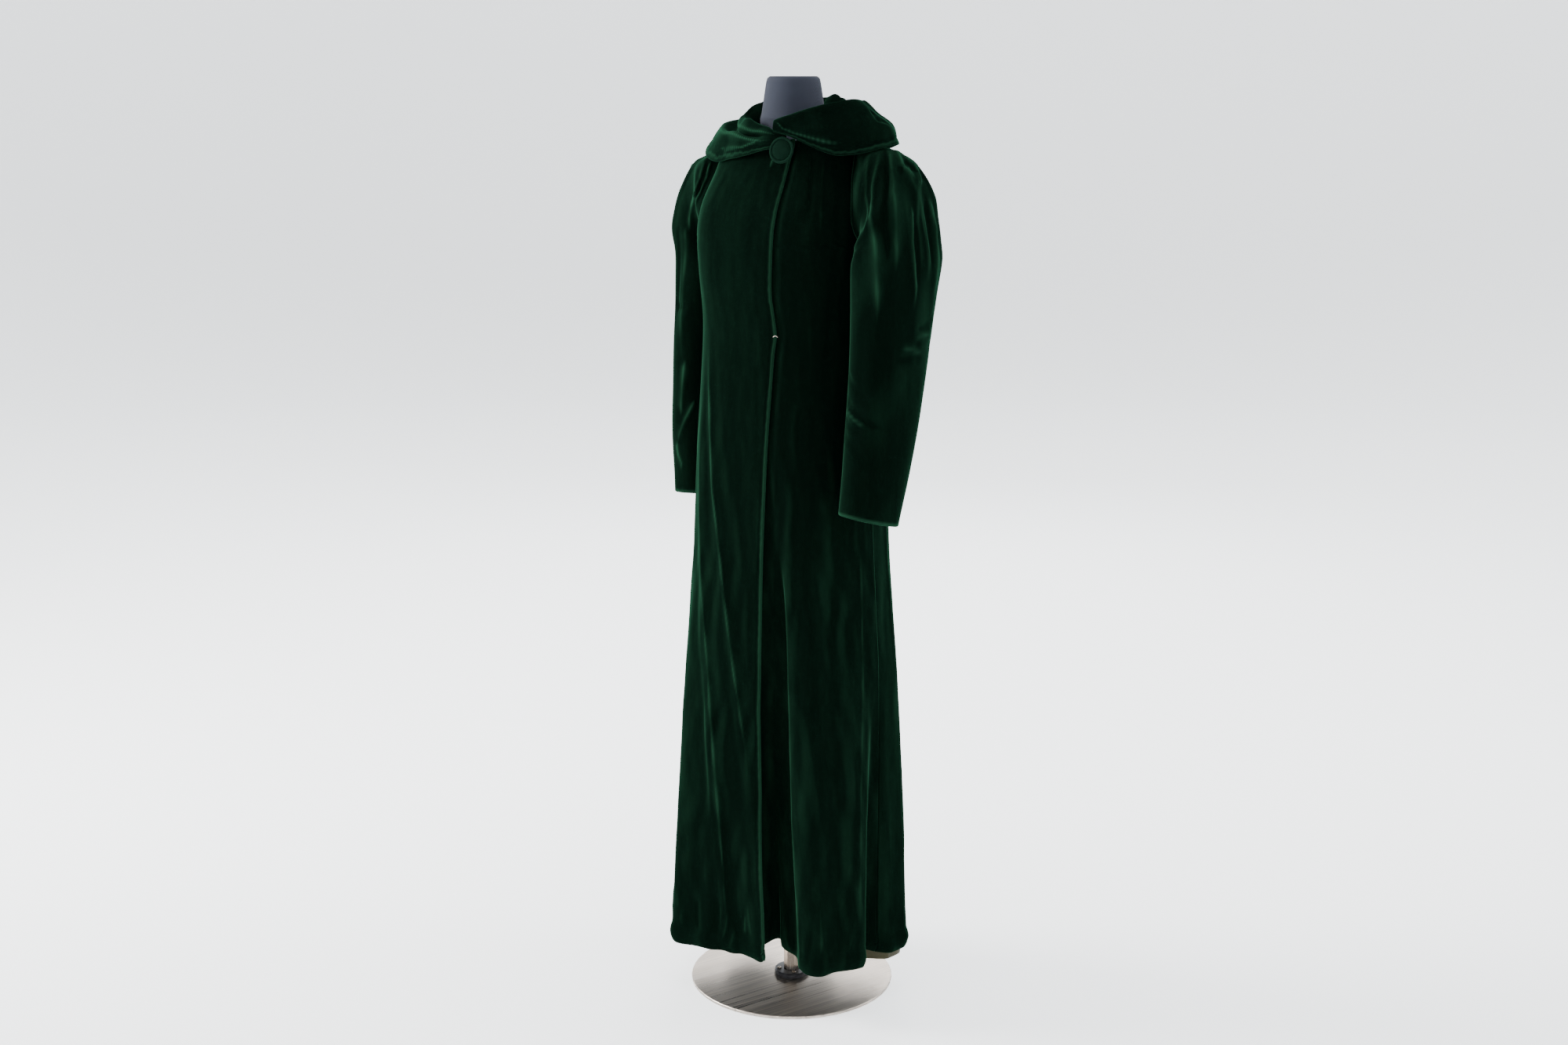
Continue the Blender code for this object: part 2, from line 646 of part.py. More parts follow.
def turned_object(name, profile, steps, material, collection, closed_profile=False):
    """Turn a profile of (radius, height) points about Z with a Screw modifier."""
    mesh_data = bmesh.new()
    verts = [mesh_data.verts.new((radius, 0.0, height)) for radius, height in profile]
    pairs = list(zip(verts, verts[1:]))
    if closed_profile:
        pairs.append((verts[-1], verts[0]))
    for first, second in pairs:
        mesh_data.edges.new((first, second))
    turned = new_object(name, mesh_data, material, collection)
    screw = turned.modifiers.new("Turn", "SCREW")
    screw.steps = steps
    screw.render_steps = steps
    screw.use_merge_vertices = True
    screw.merge_threshold = 0.00001
    screw.use_smooth_shade = True
    return turned


def button_frame():
    """Stand the button's axis along the coat's front, turned and tilted as it hangs."""
    turn, tilt = math.radians(BUTTON_TURN), math.radians(BUTTON_TILT_UP)
    out = Vector((math.sin(turn) * math.cos(tilt), -math.cos(turn) * math.cos(tilt), math.sin(tilt)))
    return Matrix.Translation(BUTTON_CENTRE) @ out.to_track_quat("Z", "Y").to_matrix().to_4x4()


def make_button(velvet, collection):
    place = button_frame()
    dome = [(0.0, BUTTON_THICKNESS)]
    for step in range(1, 5):
        lean = math.radians(22.5 * step)
        dome.append((
            BUTTON_RADIUS * math.sin(lean),
            BUTTON_THICKNESS - BUTTON_DOME * (1.0 - math.cos(lean)),
        ))
    profile = dome + [(BUTTON_RADIUS, 0.0008), (BUTTON_RADIUS - 0.001, 0.0), (0.0, 0.0)]
    button = turned_object("button", profile, 20, velvet, collection)
    button.matrix_world = place
    centre = BUTTON_RADIUS + TOUCH + RIM_CORD_RADIUS
    cord = []
    for step in range(6):
        lean = math.radians(90.0 - 60.0 * step)
        cord.append((
            centre + RIM_CORD_RADIUS * math.cos(lean),
            0.0030 + RIM_CORD_RADIUS * math.sin(lean),
        ))
    rim = turned_object("button_rim", cord, 20, velvet, collection, closed_profile=True)
    rim.matrix_world = place


def curve_object(name, points, radius, material, collection):
    """A round wire along straight runs between points, with filled ends."""
    curve = bpy.data.curves.new(name, "CURVE")
    curve.dimensions = "3D"
    curve.bevel_depth = radius
    curve.bevel_resolution = 1
    curve.use_fill_caps = True
    spline = curve.splines.new("POLY")
    spline.points.add(len(points) - 1)
    for target, point in zip(spline.points, points):
        target.co = (*point, 1.0)
    curve.materials.append(material)
    wire = bpy.data.objects.new(name, curve)
    collection.objects.link(wire)
    return wire


def make_hook(steel, collection):
    """A small wire hook at the waist: it lies on the upper front and turns over its edge."""
    edge_x = lerp_rows(FRONT_EDGE, HOOK_HEIGHT)[0]
    edge = angle_at_x(edge_x, HOOK_HEIGHT)
    along = math.degrees(HOOK_LENGTH / body_point(edge, HOOK_HEIGHT).xy.length)
    route = []
    for step in range(6):
        share = step / 5
        rise = HOOK_BOW * math.sin(math.pi * share) ** 2
        degrees = edge + 2.4 - along * (1.0 - share)
        out = -(HOOK_WIRE + TOUCH + HOOK_STAND_OFF * (0.2 + share))
        route.append(body_point(degrees, HOOK_HEIGHT + rise, inset=out))
    curve_object("waist_hook", route, HOOK_WIRE, steel, collection)


def make_lining(lining, collection):
    """The strip of lining that hangs below the velvet at the left side."""
    low, high = LINING_ANGLES
    angles = []
    for first, last, columns, under in (
        (under_edge(HEM), left_front_side(HEM), LEFT_COLUMNS, True),
        (left_back_side(HEM), right_back_side(HEM), BACK_COLUMNS, False),
    ):
        for share in column_shares(first, last, columns, under):
            degrees = first + (last - first) * share
            if low <= degrees <= high:
                angles.append(degrees)
    grid = []
    for rise in HEM_RISES:
        grid.append([panel_point(degrees, HEM + rise, True, LINING_INSET) for degrees in angles])
    grid.insert(0, [Vector((point.x, point.y, LINING_BOTTOM)) for point in grid[0]])
    cloth_shell("hem_lining", grid, LINING_WALL, lining, collection)


def form_inset(degrees, height):
    inset = lerp_rows(FORM_INSETS, height)[0]
    return inset + FORM_FRONT_EXTRA * max(0.0, math.cos(math.radians(degrees))) ** 0.6


def make_form(cloth, collection):
    """One smooth torso with its neck block, closed top and bottom."""
    heights = [row[0] for row in FORM_INSETS[:-1]]
    heights += [1.100, 1.260, 1.380, 1.400, 1.440, ARMHOLE_HIGH]
    heights += [(ARMHOLE_HIGH + NECK_SIDE_HEIGHT) / 2, NECK_SIDE_HEIGHT]
    grid = []
    for height in sorted(heights):
        row = []
        for step in range(FORM_SIDES):
            degrees = 360.0 * step / FORM_SIDES
            point = body_point(degrees, height, inset=form_inset(degrees, height), folded=False)
            if height < FORM_SLOPE_HEIGHT:
                point.z = height
            row.append(point)
        grid.append(row)
    for height, radius in NECK_SECTIONS:
        row = []
        for step in range(FORM_SIDES):
            angle = 2 * math.pi * step / FORM_SIDES
            row.append(polar_point(angle, radius, height))
        grid.append(row)
    mesh_data = grid_mesh(grid, closed=True)
    mesh_data.verts.ensure_lookup_table()
    mesh_data.faces.new([mesh_data.verts[i] for i in range(FORM_SIDES)][::-1])
    mesh_data.faces.new([mesh_data.verts[-FORM_SIDES + i] for i in range(FORM_SIDES)])
    new_object("form_torso", mesh_data, cloth, collection)


def make_pole(steel, collection):
    """A fluted tube from the base plate up to the torso, drawn and extruded."""
    top = FORM_INSETS[0][0] - TOUCH
    bottom = BASE_THICKNESS + TOUCH
    sides = POLE_FLUTES * 4
    mesh_data = bmesh.new()
    ring = []
    for step in range(sides):
        angle = 2 * math.pi * step / sides
        radius = POLE_RADIUS - POLE_FLUTE_DEPTH * (0.5 - 0.5 * math.cos(POLE_FLUTES * angle))
        ring.append(mesh_data.verts.new((radius * math.cos(angle), radius * math.sin(angle), bottom)))
    face = mesh_data.faces.new(ring)
    raised = bmesh.ops.extrude_face_region(mesh_data, geom=[face])
    moved = [item for item in raised["geom"] if isinstance(item, bmesh.types.BMVert)]
    bmesh.ops.translate(mesh_data, verts=moved, vec=(0.0, 0.0, top - bottom))
    bmesh.ops.recalc_face_normals(mesh_data, faces=mesh_data.faces)
    new_object("stand_pole", mesh_data, steel, collection)


def make_base(steel, dark, collection):
    mesh_data = bmesh.new()
    bmesh.ops.create_cone(
        mesh_data, cap_ends=True, segments=48, radius1=BASE_RADIUS, radius2=BASE_RADIUS,
        depth=BASE_THICKNESS, matrix=Matrix.Translation((0.0, 0.0, BASE_THICKNESS / 2)),
    )
    base = new_object("stand_base", mesh_data, steel, collection)
    bevel = base.modifiers.new("Edge", "BEVEL")
    bevel.width = BASE_CHAMFER
    bevel.segments = 1
    bevel.limit_method = "ANGLE"

    bottom = BASE_THICKNESS + TOUCH
    top = bottom + FLANGE_THICKNESS
    profile = [
        (FLANGE_BORE, top),
        (FLANGE_RADIUS - 0.0015, top),
        (FLANGE_RADIUS, top - 0.0015),
        (FLANGE_RADIUS, bottom),
        (FLANGE_BORE, bottom),
    ]
    turned_object("stand_flange", profile, 24, dark, collection, closed_profile=True)
    for index in range(4):
        turn = math.radians(45.0 + 90.0 * index)
        low = top + TOUCH
        high = low + SCREW_HEIGHT
        head = [
            (0.0, high - 0.0014),
            (SCREW_SOCKET, high - 0.0014),
            (SCREW_SOCKET, high),
            (SCREW_RADIUS - 0.0005, high),
            (SCREW_RADIUS, high - 0.0005),
            (SCREW_RADIUS, low),
            (0.0, low),
        ]
        screw = turned_object(f"screw_{index + 1}", head, 8, steel, collection)
        screw.location = (SCREW_CIRCLE * math.cos(turn), SCREW_CIRCLE * math.sin(turn), 0.0)


def main():
    for thing in list(bpy.data.objects):
        bpy.data.objects.remove(thing, do_unlink=True)
    collection = bpy.data.collections.new("velvet_coat")
    bpy.context.scene.collection.children.link(collection)
    velvet = new_material("green velvet", (0.006, 0.030, 0.015), 0.85)
    lining = new_material("olive lining", (0.16, 0.15, 0.06), 0.60)
    form_cloth = new_material("slate form cloth", (0.065, 0.070, 0.100), 0.85)
    steel = new_material("brushed steel", (0.56, 0.57, 0.58), 0.32, 1.0)
    dark = new_material("dark flange", (0.05, 0.05, 0.055), 0.40, 0.8)
    make_panels(velvet, collection)
    make_sleeves(velvet, collection)
    make_collar(velvet, collection)
    make_button(velvet, collection)
    make_hook(steel, collection)
    make_lining(lining, collection)
    make_form(form_cloth, collection)
    make_pole(steel, collection)
    make_base(steel, dark, collection)


main()
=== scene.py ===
"""Looks of the velvet coat on its dress form: cloth, finishes, camera and soft studio light.

Metres, +Z up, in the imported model's own frame. The coat faces -Y and the wearer's left is +X.
Angles go round the body from the centre front, positive to +X.
"""
import math
import random

import bpy
import numpy as np
from mathutils import Matrix, Vector


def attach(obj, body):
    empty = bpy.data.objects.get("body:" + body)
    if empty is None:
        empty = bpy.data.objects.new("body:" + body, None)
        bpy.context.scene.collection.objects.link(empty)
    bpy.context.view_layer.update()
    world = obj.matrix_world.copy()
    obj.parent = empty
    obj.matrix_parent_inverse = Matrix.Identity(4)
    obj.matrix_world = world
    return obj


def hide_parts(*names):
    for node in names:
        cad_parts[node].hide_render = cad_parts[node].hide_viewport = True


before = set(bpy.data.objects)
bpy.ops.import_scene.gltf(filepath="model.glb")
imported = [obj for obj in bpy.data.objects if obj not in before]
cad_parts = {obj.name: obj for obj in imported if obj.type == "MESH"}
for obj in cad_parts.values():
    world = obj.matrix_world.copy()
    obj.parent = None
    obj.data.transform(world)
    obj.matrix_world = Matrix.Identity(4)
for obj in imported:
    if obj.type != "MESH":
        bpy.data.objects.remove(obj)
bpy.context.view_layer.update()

bl_info = {
    "name": "Velvet Coat",
    "version": (1, 0, 0),
    "blender": (4, 5, 0),
    "location": "3D View > Sidebar > Velvet Coat",
    "description": "Builds a velvet coat on a dress form, with its stage",
    "category": "Object",
}

# Sizes of the cloth, as in the solids
WALL = 0.0026
COLLAR_WALL = 0.0024
GAP = 0.0004
LAP_INSET = WALL + 0.0040
LAP_START = 1.5
LAP_WIDTH = 7.0
HEM = 0.086
HEM_ROLL_HEIGHT = 0.036
HEM_ROLL_DEPTH = 0.0035
HEM_LIFT = 0.14
HEM_LIFT_REACH = 0.30
METRES_PER_DEGREE = 0.0031
PANEL_WAVE = 0.0009
CORNER_RADIUS = 0.013
HEM_TURNING = 0.016
FRONT_TURNING = 0.010
CUFF_TURNING = 0.014
SEAM_TUCK = 0.0003
SEAM_ALLOWANCE = 0.007

BODY_SECTIONS = (
    # height, half_width, half_depth, centre_y, squareness
    (0.060, 0.205, 0.153, -0.002, 2.40),
    (0.300, 0.196, 0.149, -0.002, 2.40),
    (0.550, 0.184, 0.144, -0.002, 2.40),
    (0.800, 0.169, 0.138, -0.003, 2.40),
    (0.950, 0.162, 0.134, -0.003, 2.40),
    (1.080, 0.154, 0.128, -0.003, 2.35),
    (1.180, 0.149, 0.125, -0.003, 2.35),
    (1.270, 0.154, 0.131, -0.002, 2.45),
    (1.330, 0.158, 0.130, 0.000, 2.50),
    (1.370, 0.155, 0.121, 0.001, 2.42),
    (1.394, 0.149, 0.111, 0.002, 2.34),
    (1.420, 0.139, 0.099, 0.003, 2.25),
    (1.449, 0.131, 0.087, 0.003, 2.15),
    (1.474, 0.124, 0.076, 0.003, 2.10),
    (1.490, 0.091, 0.068, 0.003, 2.05),
    (1.506, 0.058, 0.062, 0.003, 2.00),
    (1.514, 0.042, 0.058, 0.003, 2.00),
)
FOLDS = (
    # start_height, angle_start, angle_hem, width_start, width_hem, mid, hem, under
    (1.080, -50.0, -10.0, 9.0, 9.0, 0.005, 0.003, False),
    (1.180, -41.0, 24.0, 9.0, 8.0, 0.005, 0.000, False),
    (0.800, -54.0, -43.0, 20.0, 17.0, 0.004, 0.034, False),
    (0.600, -28.0, -27.0, 10.0, 9.0, 0.000, 0.009, False),
    (0.600, -2.0, -2.0, 26.0, 24.0, 0.000, -0.010, False),
    (0.980, 23.0, 20.5, 9.0, 24.0, -0.010, -0.074, True),
    (0.900, 44.0, 48.0, 14.0, 13.0, 0.004, 0.016, False),
    (0.780, 70.0, 66.0, 9.0, 9.0, 0.005, 0.002, False),
    (0.620, 86.0, 84.0, 8.0, 12.0, -0.008, -0.046, False),
    (0.850, 108.0, 106.0, 13.0, 12.0, 0.003, 0.010, False),
    (0.760, 128.0, 127.0, 12.0, 11.0, -0.003, -0.018, False),
    (0.900, 148.0, 149.0, 14.0, 13.0, 0.003, 0.012, False),
    (0.820, 168.0, 171.0, 12.0, 12.0, -0.002, -0.014, False),
    (0.980, 192.0, 193.0, 14.0, 13.0, 0.004, 0.014, False),
    (0.760, 214.0, 215.0, 12.0, 12.0, -0.002, -0.018, False),
    (0.880, 236.0, 238.0, 14.0, 13.0, 0.004, 0.012, False),
    (0.700, 258.0, 260.0, 12.0, 12.0, -0.003, -0.020, False),
    (0.840, 279.0, 281.0, 12.0, 11.0, 0.003, 0.008, False),
)
FRONT_EDGE = (
    # height, upper_x, under_x
    (0.060, 0.0480, -0.040),
    (0.137, 0.0445, -0.040),
    (0.300, 0.0385, -0.044),
    (0.550, 0.0325, -0.046),
    (0.800, 0.0350, -0.046),
    (1.000, 0.0405, -0.042),
    (1.140, 0.0480, -0.034),
    (1.169, 0.0525, -0.032),
    (1.232, 0.0450, -0.030),
    (1.295, 0.0475, -0.028),
    (1.376, 0.0480, -0.026),
    (1.430, 0.0475, -0.024),
    (1.506, 0.0500, -0.022),
)
NECK_CENTRE_Y = 0.003
NECK_SIDE_HEIGHT = 1.506
NECK_FRONT_DROP = 0.031
NECK_BACK_DROP = 0.014
ARMHOLE_LOW = 1.310
ARMHOLE_HIGH = 1.474
ARMHOLE_HALF_ANGLE = 16.5
ARMHOLE_SKEW = 0.60
CUFF_LEAN = 0.45
SLEEVE_METRES_PER_DEGREE = 0.00105

UNDERARM_X = 0.163
UNDERARM_Z = 1.298
UNDERARM_RADIUS = 0.007
LEFT_SLEEVE_HEAD = (
    # swing, reach, half_depth, centre_y, squareness
    (4.0, 0.172, 0.062, 0.000, 2.2),
    (15.0, 0.166, 0.068, 0.000, 2.3),
    (28.0, 0.151, 0.074, -0.006, 2.6),
    (41.0, 0.131, 0.083, -0.013, 3.1),
    (56.0, 0.113, 0.085, -0.017, 3.1),
    (72.0, 0.105, 0.087, -0.020, 3.1),
)
RIGHT_SLEEVE_HEAD = (
    # swing, reach, half_depth, centre_y, squareness
    (4.0, 0.150, 0.056, 0.012, 2.2),
    (15.0, 0.148, 0.055, 0.028, 2.2),
    (28.0, 0.143, 0.057, 0.042, 2.2),
    (41.0, 0.134, 0.060, 0.051, 2.2),
    (56.0, 0.120, 0.064, 0.055, 2.2),
    (72.0, 0.111, 0.067, 0.056, 2.2),
)
LEFT_SLEEVE_HANG = (
    # height, centre_x, centre_y, half_width, half_depth, tilt_back, squareness
    (1.285, 0.2170, -0.0215, 0.0530, 0.0840, 0.00, 3.1),
    (1.210, 0.2165, -0.0285, 0.0515, 0.0810, 0.10, 2.6),
    (1.110, 0.2155, -0.0410, 0.0500, 0.0760, 0.13, 2.4),
    (0.960, 0.2130, -0.0680, 0.0465, 0.0640, 0.20, 2.2),
    (0.881, 0.2110, -0.0857, 0.0425, 0.0575, 0.24, 2.2),
)
RIGHT_SLEEVE_HANG = (
    # height, centre_x, centre_y, half_width, half_depth, tilt_back, squareness
    (1.285, 0.2145, 0.054, 0.0490, 0.0680, 0.00, 2.2),
    (1.210, 0.2140, 0.047, 0.0475, 0.0665, 0.06, 2.2),
    (1.110, 0.2130, 0.038, 0.0465, 0.0645, 0.08, 2.2),
    (0.960, 0.2120, 0.026, 0.0440, 0.0595, 0.08, 2.2),
    (0.863, 0.2101, 0.020, 0.0409, 0.0546, 0.10, 2.2),
)

COLLAR_LEFT = (
    # angle, seam_lift, seam_out, crest_r, crest_h, dip_r, dip_h, swell_r, swell_h, edge_r, edge_h
    (17.0, 0.0215, 0.0065, 0.097, 1.512, 0.106, 1.506, 0.108, 1.500, 0.106, 1.4940),
    (31.0, 0.0140, 0.0040, 0.101, 1.520, 0.110, 1.512, 0.113, 1.500, 0.110, 1.4875),
    (47.5, 0.0000, 0.0000, 0.108, 1.529, 0.115, 1.517, 0.118, 1.496, 0.115, 1.4730),
    (62.0, 0.0000, 0.0000, 0.114, 1.536, 0.127, 1.518, 0.139, 1.489, 0.142, 1.4590),
    (70.0, 0.0000, 0.0000, 0.121, 1.539, 0.137, 1.520, 0.154, 1.490, 0.161, 1.4600),
    (77.0, 0.0000, 0.0000, 0.126, 1.542, 0.144, 1.523, 0.166, 1.493, 0.176, 1.4640),
    (83.0, 0.0000, 0.0000, 0.129, 1.543, 0.150, 1.525, 0.177, 1.499, 0.189, 1.4700),
    (90.0, 0.0000, 0.0000, 0.129, 1.542, 0.154, 1.524, 0.185, 1.503, 0.200, 1.4765),
    (110.0, 0.0000, 0.0000, 0.122, 1.535, 0.141, 1.518, 0.164, 1.500, 0.173, 1.4710),
    (130.0, 0.0000, 0.0000, 0.113, 1.536, 0.129, 1.520, 0.149, 1.498, 0.157, 1.4640),
    (150.0, 0.0000, 0.0000, 0.104, 1.538, 0.119, 1.522, 0.135, 1.498, 0.141, 1.4560),
    (161.0, 0.0000, 0.0000, 0.102, 1.541, 0.116, 1.523, 0.130, 1.497, 0.136, 1.4530),
    (171.0, 0.0000, 0.0000, 0.101, 1.549, 0.114, 1.527, 0.126, 1.497, 0.132, 1.4500),
    (180.0, 0.0000, 0.0000, 0.100, 1.544, 0.113, 1.526, 0.124, 1.497, 0.130, 1.4490),
)
COLLAR_RIGHT = (
    # angle, seam_lift, seam_out, crest_r, crest_h, dip_r, dip_h, swell_r, swell_h, edge_r, edge_h
    (-180.0, 0.0000, 0.0000, 0.100, 1.544, 0.113, 1.526, 0.124, 1.497, 0.130, 1.4490),
    (-150.0, 0.0000, 0.0000, 0.092, 1.543, 0.107, 1.523, 0.124, 1.498, 0.138, 1.4550),
    (-130.0, 0.0000, 0.0000, 0.085, 1.540, 0.102, 1.520, 0.127, 1.502, 0.150, 1.4620),
    (-108.0, 0.0000, 0.0000, 0.079, 1.537, 0.103, 1.511, 0.133, 1.508, 0.165, 1.4680),
    (-90.0, 0.0000, 0.0000, 0.083, 1.529, 0.109, 1.497, 0.138, 1.504, 0.171, 1.4680),
    (-78.0, 0.0000, 0.0000, 0.085, 1.517, 0.104, 1.490, 0.129, 1.495, 0.160, 1.4540),
    (-60.0, 0.0000, 0.0000, 0.080, 1.511, 0.096, 1.485, 0.115, 1.488, 0.131, 1.4440),
    (-40.0, 0.0000, 0.0000, 0.075, 1.511, 0.089, 1.487, 0.100, 1.488, 0.109, 1.4490),
    (-19.0, 0.0000, 0.0000, 0.073, 1.505, 0.086, 1.485, 0.094, 1.483, 0.099, 1.4560),
    (-1.0, 0.0000, 0.0000, 0.075, 1.500, 0.086, 1.486, 0.093, 1.481, 0.097, 1.4630),
    (13.0, 0.0000, 0.0000, 0.080, 1.494, 0.092, 1.485, 0.096, 1.479, 0.100, 1.4680),
    (27.0, 0.0000, 0.0000, 0.084, 1.490, 0.095, 1.484, 0.099, 1.478, 0.102, 1.4670),
)
COLLAR_SEAM_LIFT = 0.0022
COLLAR_METRES_PER_DEGREE = 0.0024
COLLAR_WIDTH = 0.09
COLLAR_WAVE = 0.0006
COLLAR_EDGE_RADIUS = 0.0016
COLLAR_TURNING = 0.008
COLLAR_HALF_GAP_DEGREES = 0.15
STAND_RISE = 0.50
STAND_LEAN = 0.35
CREST_HALF_WIDTH = 0.0045
CREST_ROUND = 0.0010

BUTTON_CENTRE = Vector((0.0449, -0.0921, 1.4638))
BUTTON_TURN = 8.0
BUTTON_TILT_UP = 14.0
BUTTON_RADIUS = 0.0166
BUTTON_DOME = 0.0045
BUTTON_THICKNESS = 0.0075
RIM_CORD_RADIUS = 0.0023
RIM_HEIGHT = 0.0030
RIM_STRANDS = 44
TOUCH = 0.0003
HOOK_HEIGHT = 1.169
HOOK_WIRE = 0.0006
HOOK_LENGTH = 0.009
HOOK_BOW = 0.0022
HOOK_STAND_OFF = 0.0008
LINING_ANGLES = (86.0, 108.0)
LINING_BOTTOM = 0.074
LINING_WALL = 0.0012

FORM_INSETS = (
    # height, inset
    (0.800, 0.030),
    (0.812, 0.022),
    (0.900, 0.015),
    (1.020, 0.012),
    (1.180, 0.010),
    (1.330, 0.010),
    (1.420, 0.008),
    (1.455, 0.006),
    (1.474, 0.0037),
    (1.506, 0.0037),
)
FORM_FRONT_EXTRA = 0.0080
FORM_SLOPE_HEIGHT = 1.43
STUDIO_LIGHTS = (
    # name, place, size, watts, tint
    ("key_light", (-3.0, -1.5, 2.6), 1.6, 235.0, (1.0, 0.99, 0.97)),
    ("side_light", (2.8, 2.0, 2.2), 1.8, 60.0, (0.97, 0.99, 1.0)),
    ("back_light", (-1.6, 3.0, 2.6), 2.4, 90.0, (1.0, 1.0, 1.0)),
    ("top_light", (0.2, -0.2, 3.8), 2.4, 60.0, (1.0, 1.0, 1.0)),
)
FLOOR_RADIUS = 6.5
FLOOR_LEVEL = -0.0005
SWEEP_RADIUS = 3.0
STUDIO_WALL_TOP = 6.0
TOWARDS_WALL = (-0.57, 0.82, 0.0)
CAMERA_HEIGHT = 1.58
CAMERA_DOWN = 12.495
CAMERA_ASIDE = 0.234
LENS = 46.26
SENSOR = 36.0
NECK_SECTIONS = (
    # height, radius
    (1.512, 0.0545),
    (1.522, 0.0520),
    (1.546, 0.0485),
    (1.570, 0.0448),
    (1.577, 0.0425),
    (1.580, 0.0385),
)

# Creases: the height they stand out, half their width, the strength of the highlight painted along their
# ridges, and their path.
# Paths on the panels run by angle and height.
FRONT_RIGHT_CREASES = (
    (0.0018, 0.0055, 0.6, ((-47.0, 1.020), (-45.7, 0.964), (-39.4, 0.804), (-34.6, 0.709),
        (-28.8, 0.608), (-25.0, 0.520), (-21.9, 0.449), (-17.2, 0.329), (-14.2, 0.238), (-12.5, 0.152),
        (-11.5, 0.100))),
    (0.0020, 0.0055, 0.7, ((-40.5, 1.160), (-38.6, 1.112), (-31.9, 1.002), (-27.3, 0.908),
        (-20.0, 0.814), (-12.9, 0.705), (-7.0, 0.620), (0.0, 0.520), (3.9, 0.464), (5.3, 0.403))),
    (0.0018, 0.0030, 0.8, ((10.0, 1.448), (15.0, 1.443), (20.0, 1.441), (25.0, 1.442))),
    (0.0018, 0.0060, 0.9, ((-73.0, 1.466), (-72.5, 1.440), (-72.0, 1.400), (-73.0, 1.350),
        (-76.0, 1.300), (-78.0, 1.220), (-76.0, 1.120))),
    (-0.0018, 0.0120, 0.4, ((10.0, 1.130), (12.0, 1.060), (12.5, 0.980), (11.5, 0.900))),
)
FRONT_LEFT_CREASES = (
    (-0.0130, 0.0120, 0.0, ((25.4, 0.849), (27.0, 0.638), (28.9, 0.504), (29.8, 0.357), (31.8, 0.267),
        (33.0, 0.206), (34.2, 0.080), (34.8, -0.180))),
    (0.0016, 0.0045, 0.6, ((31.5, 0.660), (32.2, 0.600), (33.4, 0.504), (34.3, 0.357), (36.3, 0.267),
        (37.7, 0.206), (38.6, 0.110), (38.8, -0.020))),
    (0.0020, 0.0080, 0.3, ((77.5, 0.860), (77.0, 0.727), (75.6, 0.600), (73.5, 0.500), (72.0, 0.400),
        (70.7, 0.261), (69.0, 0.120))),
    (-0.0030, 0.0050, 0.5, ((56.3, 1.461), (52.8, 1.453), (49.0, 1.426), (45.7, 1.377), (45.2, 1.354))),
    (0.0010, 0.0070, 0.1, ((60.0, 1.455), (56.0, 1.420), (52.5, 1.370), (51.0, 1.320))),
    (-0.0020, 0.0110, 0.3, ((66.0, 1.420), (63.0, 1.330), (60.0, 1.200), (58.0, 1.060))),
)
BACK_CREASES = (
    (0.0018, 0.0060, 0.5, ((108.0, 0.960), (106.0, 0.780), (109.0, 0.560), (106.5, 0.330),
        (107.5, 0.110))),
    (-0.0022, 0.0070, 0.4, ((131.0, 0.900), (127.0, 0.700), (128.5, 0.480), (127.0, 0.250),
        (128.0, 0.110))),
    (0.0020, 0.0060, 0.6, ((152.0, 1.150), (150.0, 0.930), (147.0, 0.720), (150.5, 0.480),
        (148.0, 0.260), (149.0, 0.110))),
    (0.0016, 0.0050, 0.5, ((176.0, 0.740), (173.0, 0.560), (175.0, 0.360), (173.5, 0.140))),
    (0.0020, 0.0060, 0.6, ((186.0, 1.200), (191.0, 0.980), (194.0, 0.760), (191.0, 0.520),
        (193.5, 0.300), (193.0, 0.110))),
    (-0.0022, 0.0070, 0.4, ((211.0, 0.860), (216.0, 0.660), (213.0, 0.430), (215.5, 0.200))),
    (0.0018, 0.0060, 0.5, ((231.0, 1.060), (236.0, 0.840), (239.0, 0.600), (236.5, 0.350),
        (238.0, 0.120))),
    (0.0016, 0.0060, 0.5, ((256.0, 0.640), (260.0, 0.440), (257.5, 0.230))),
)

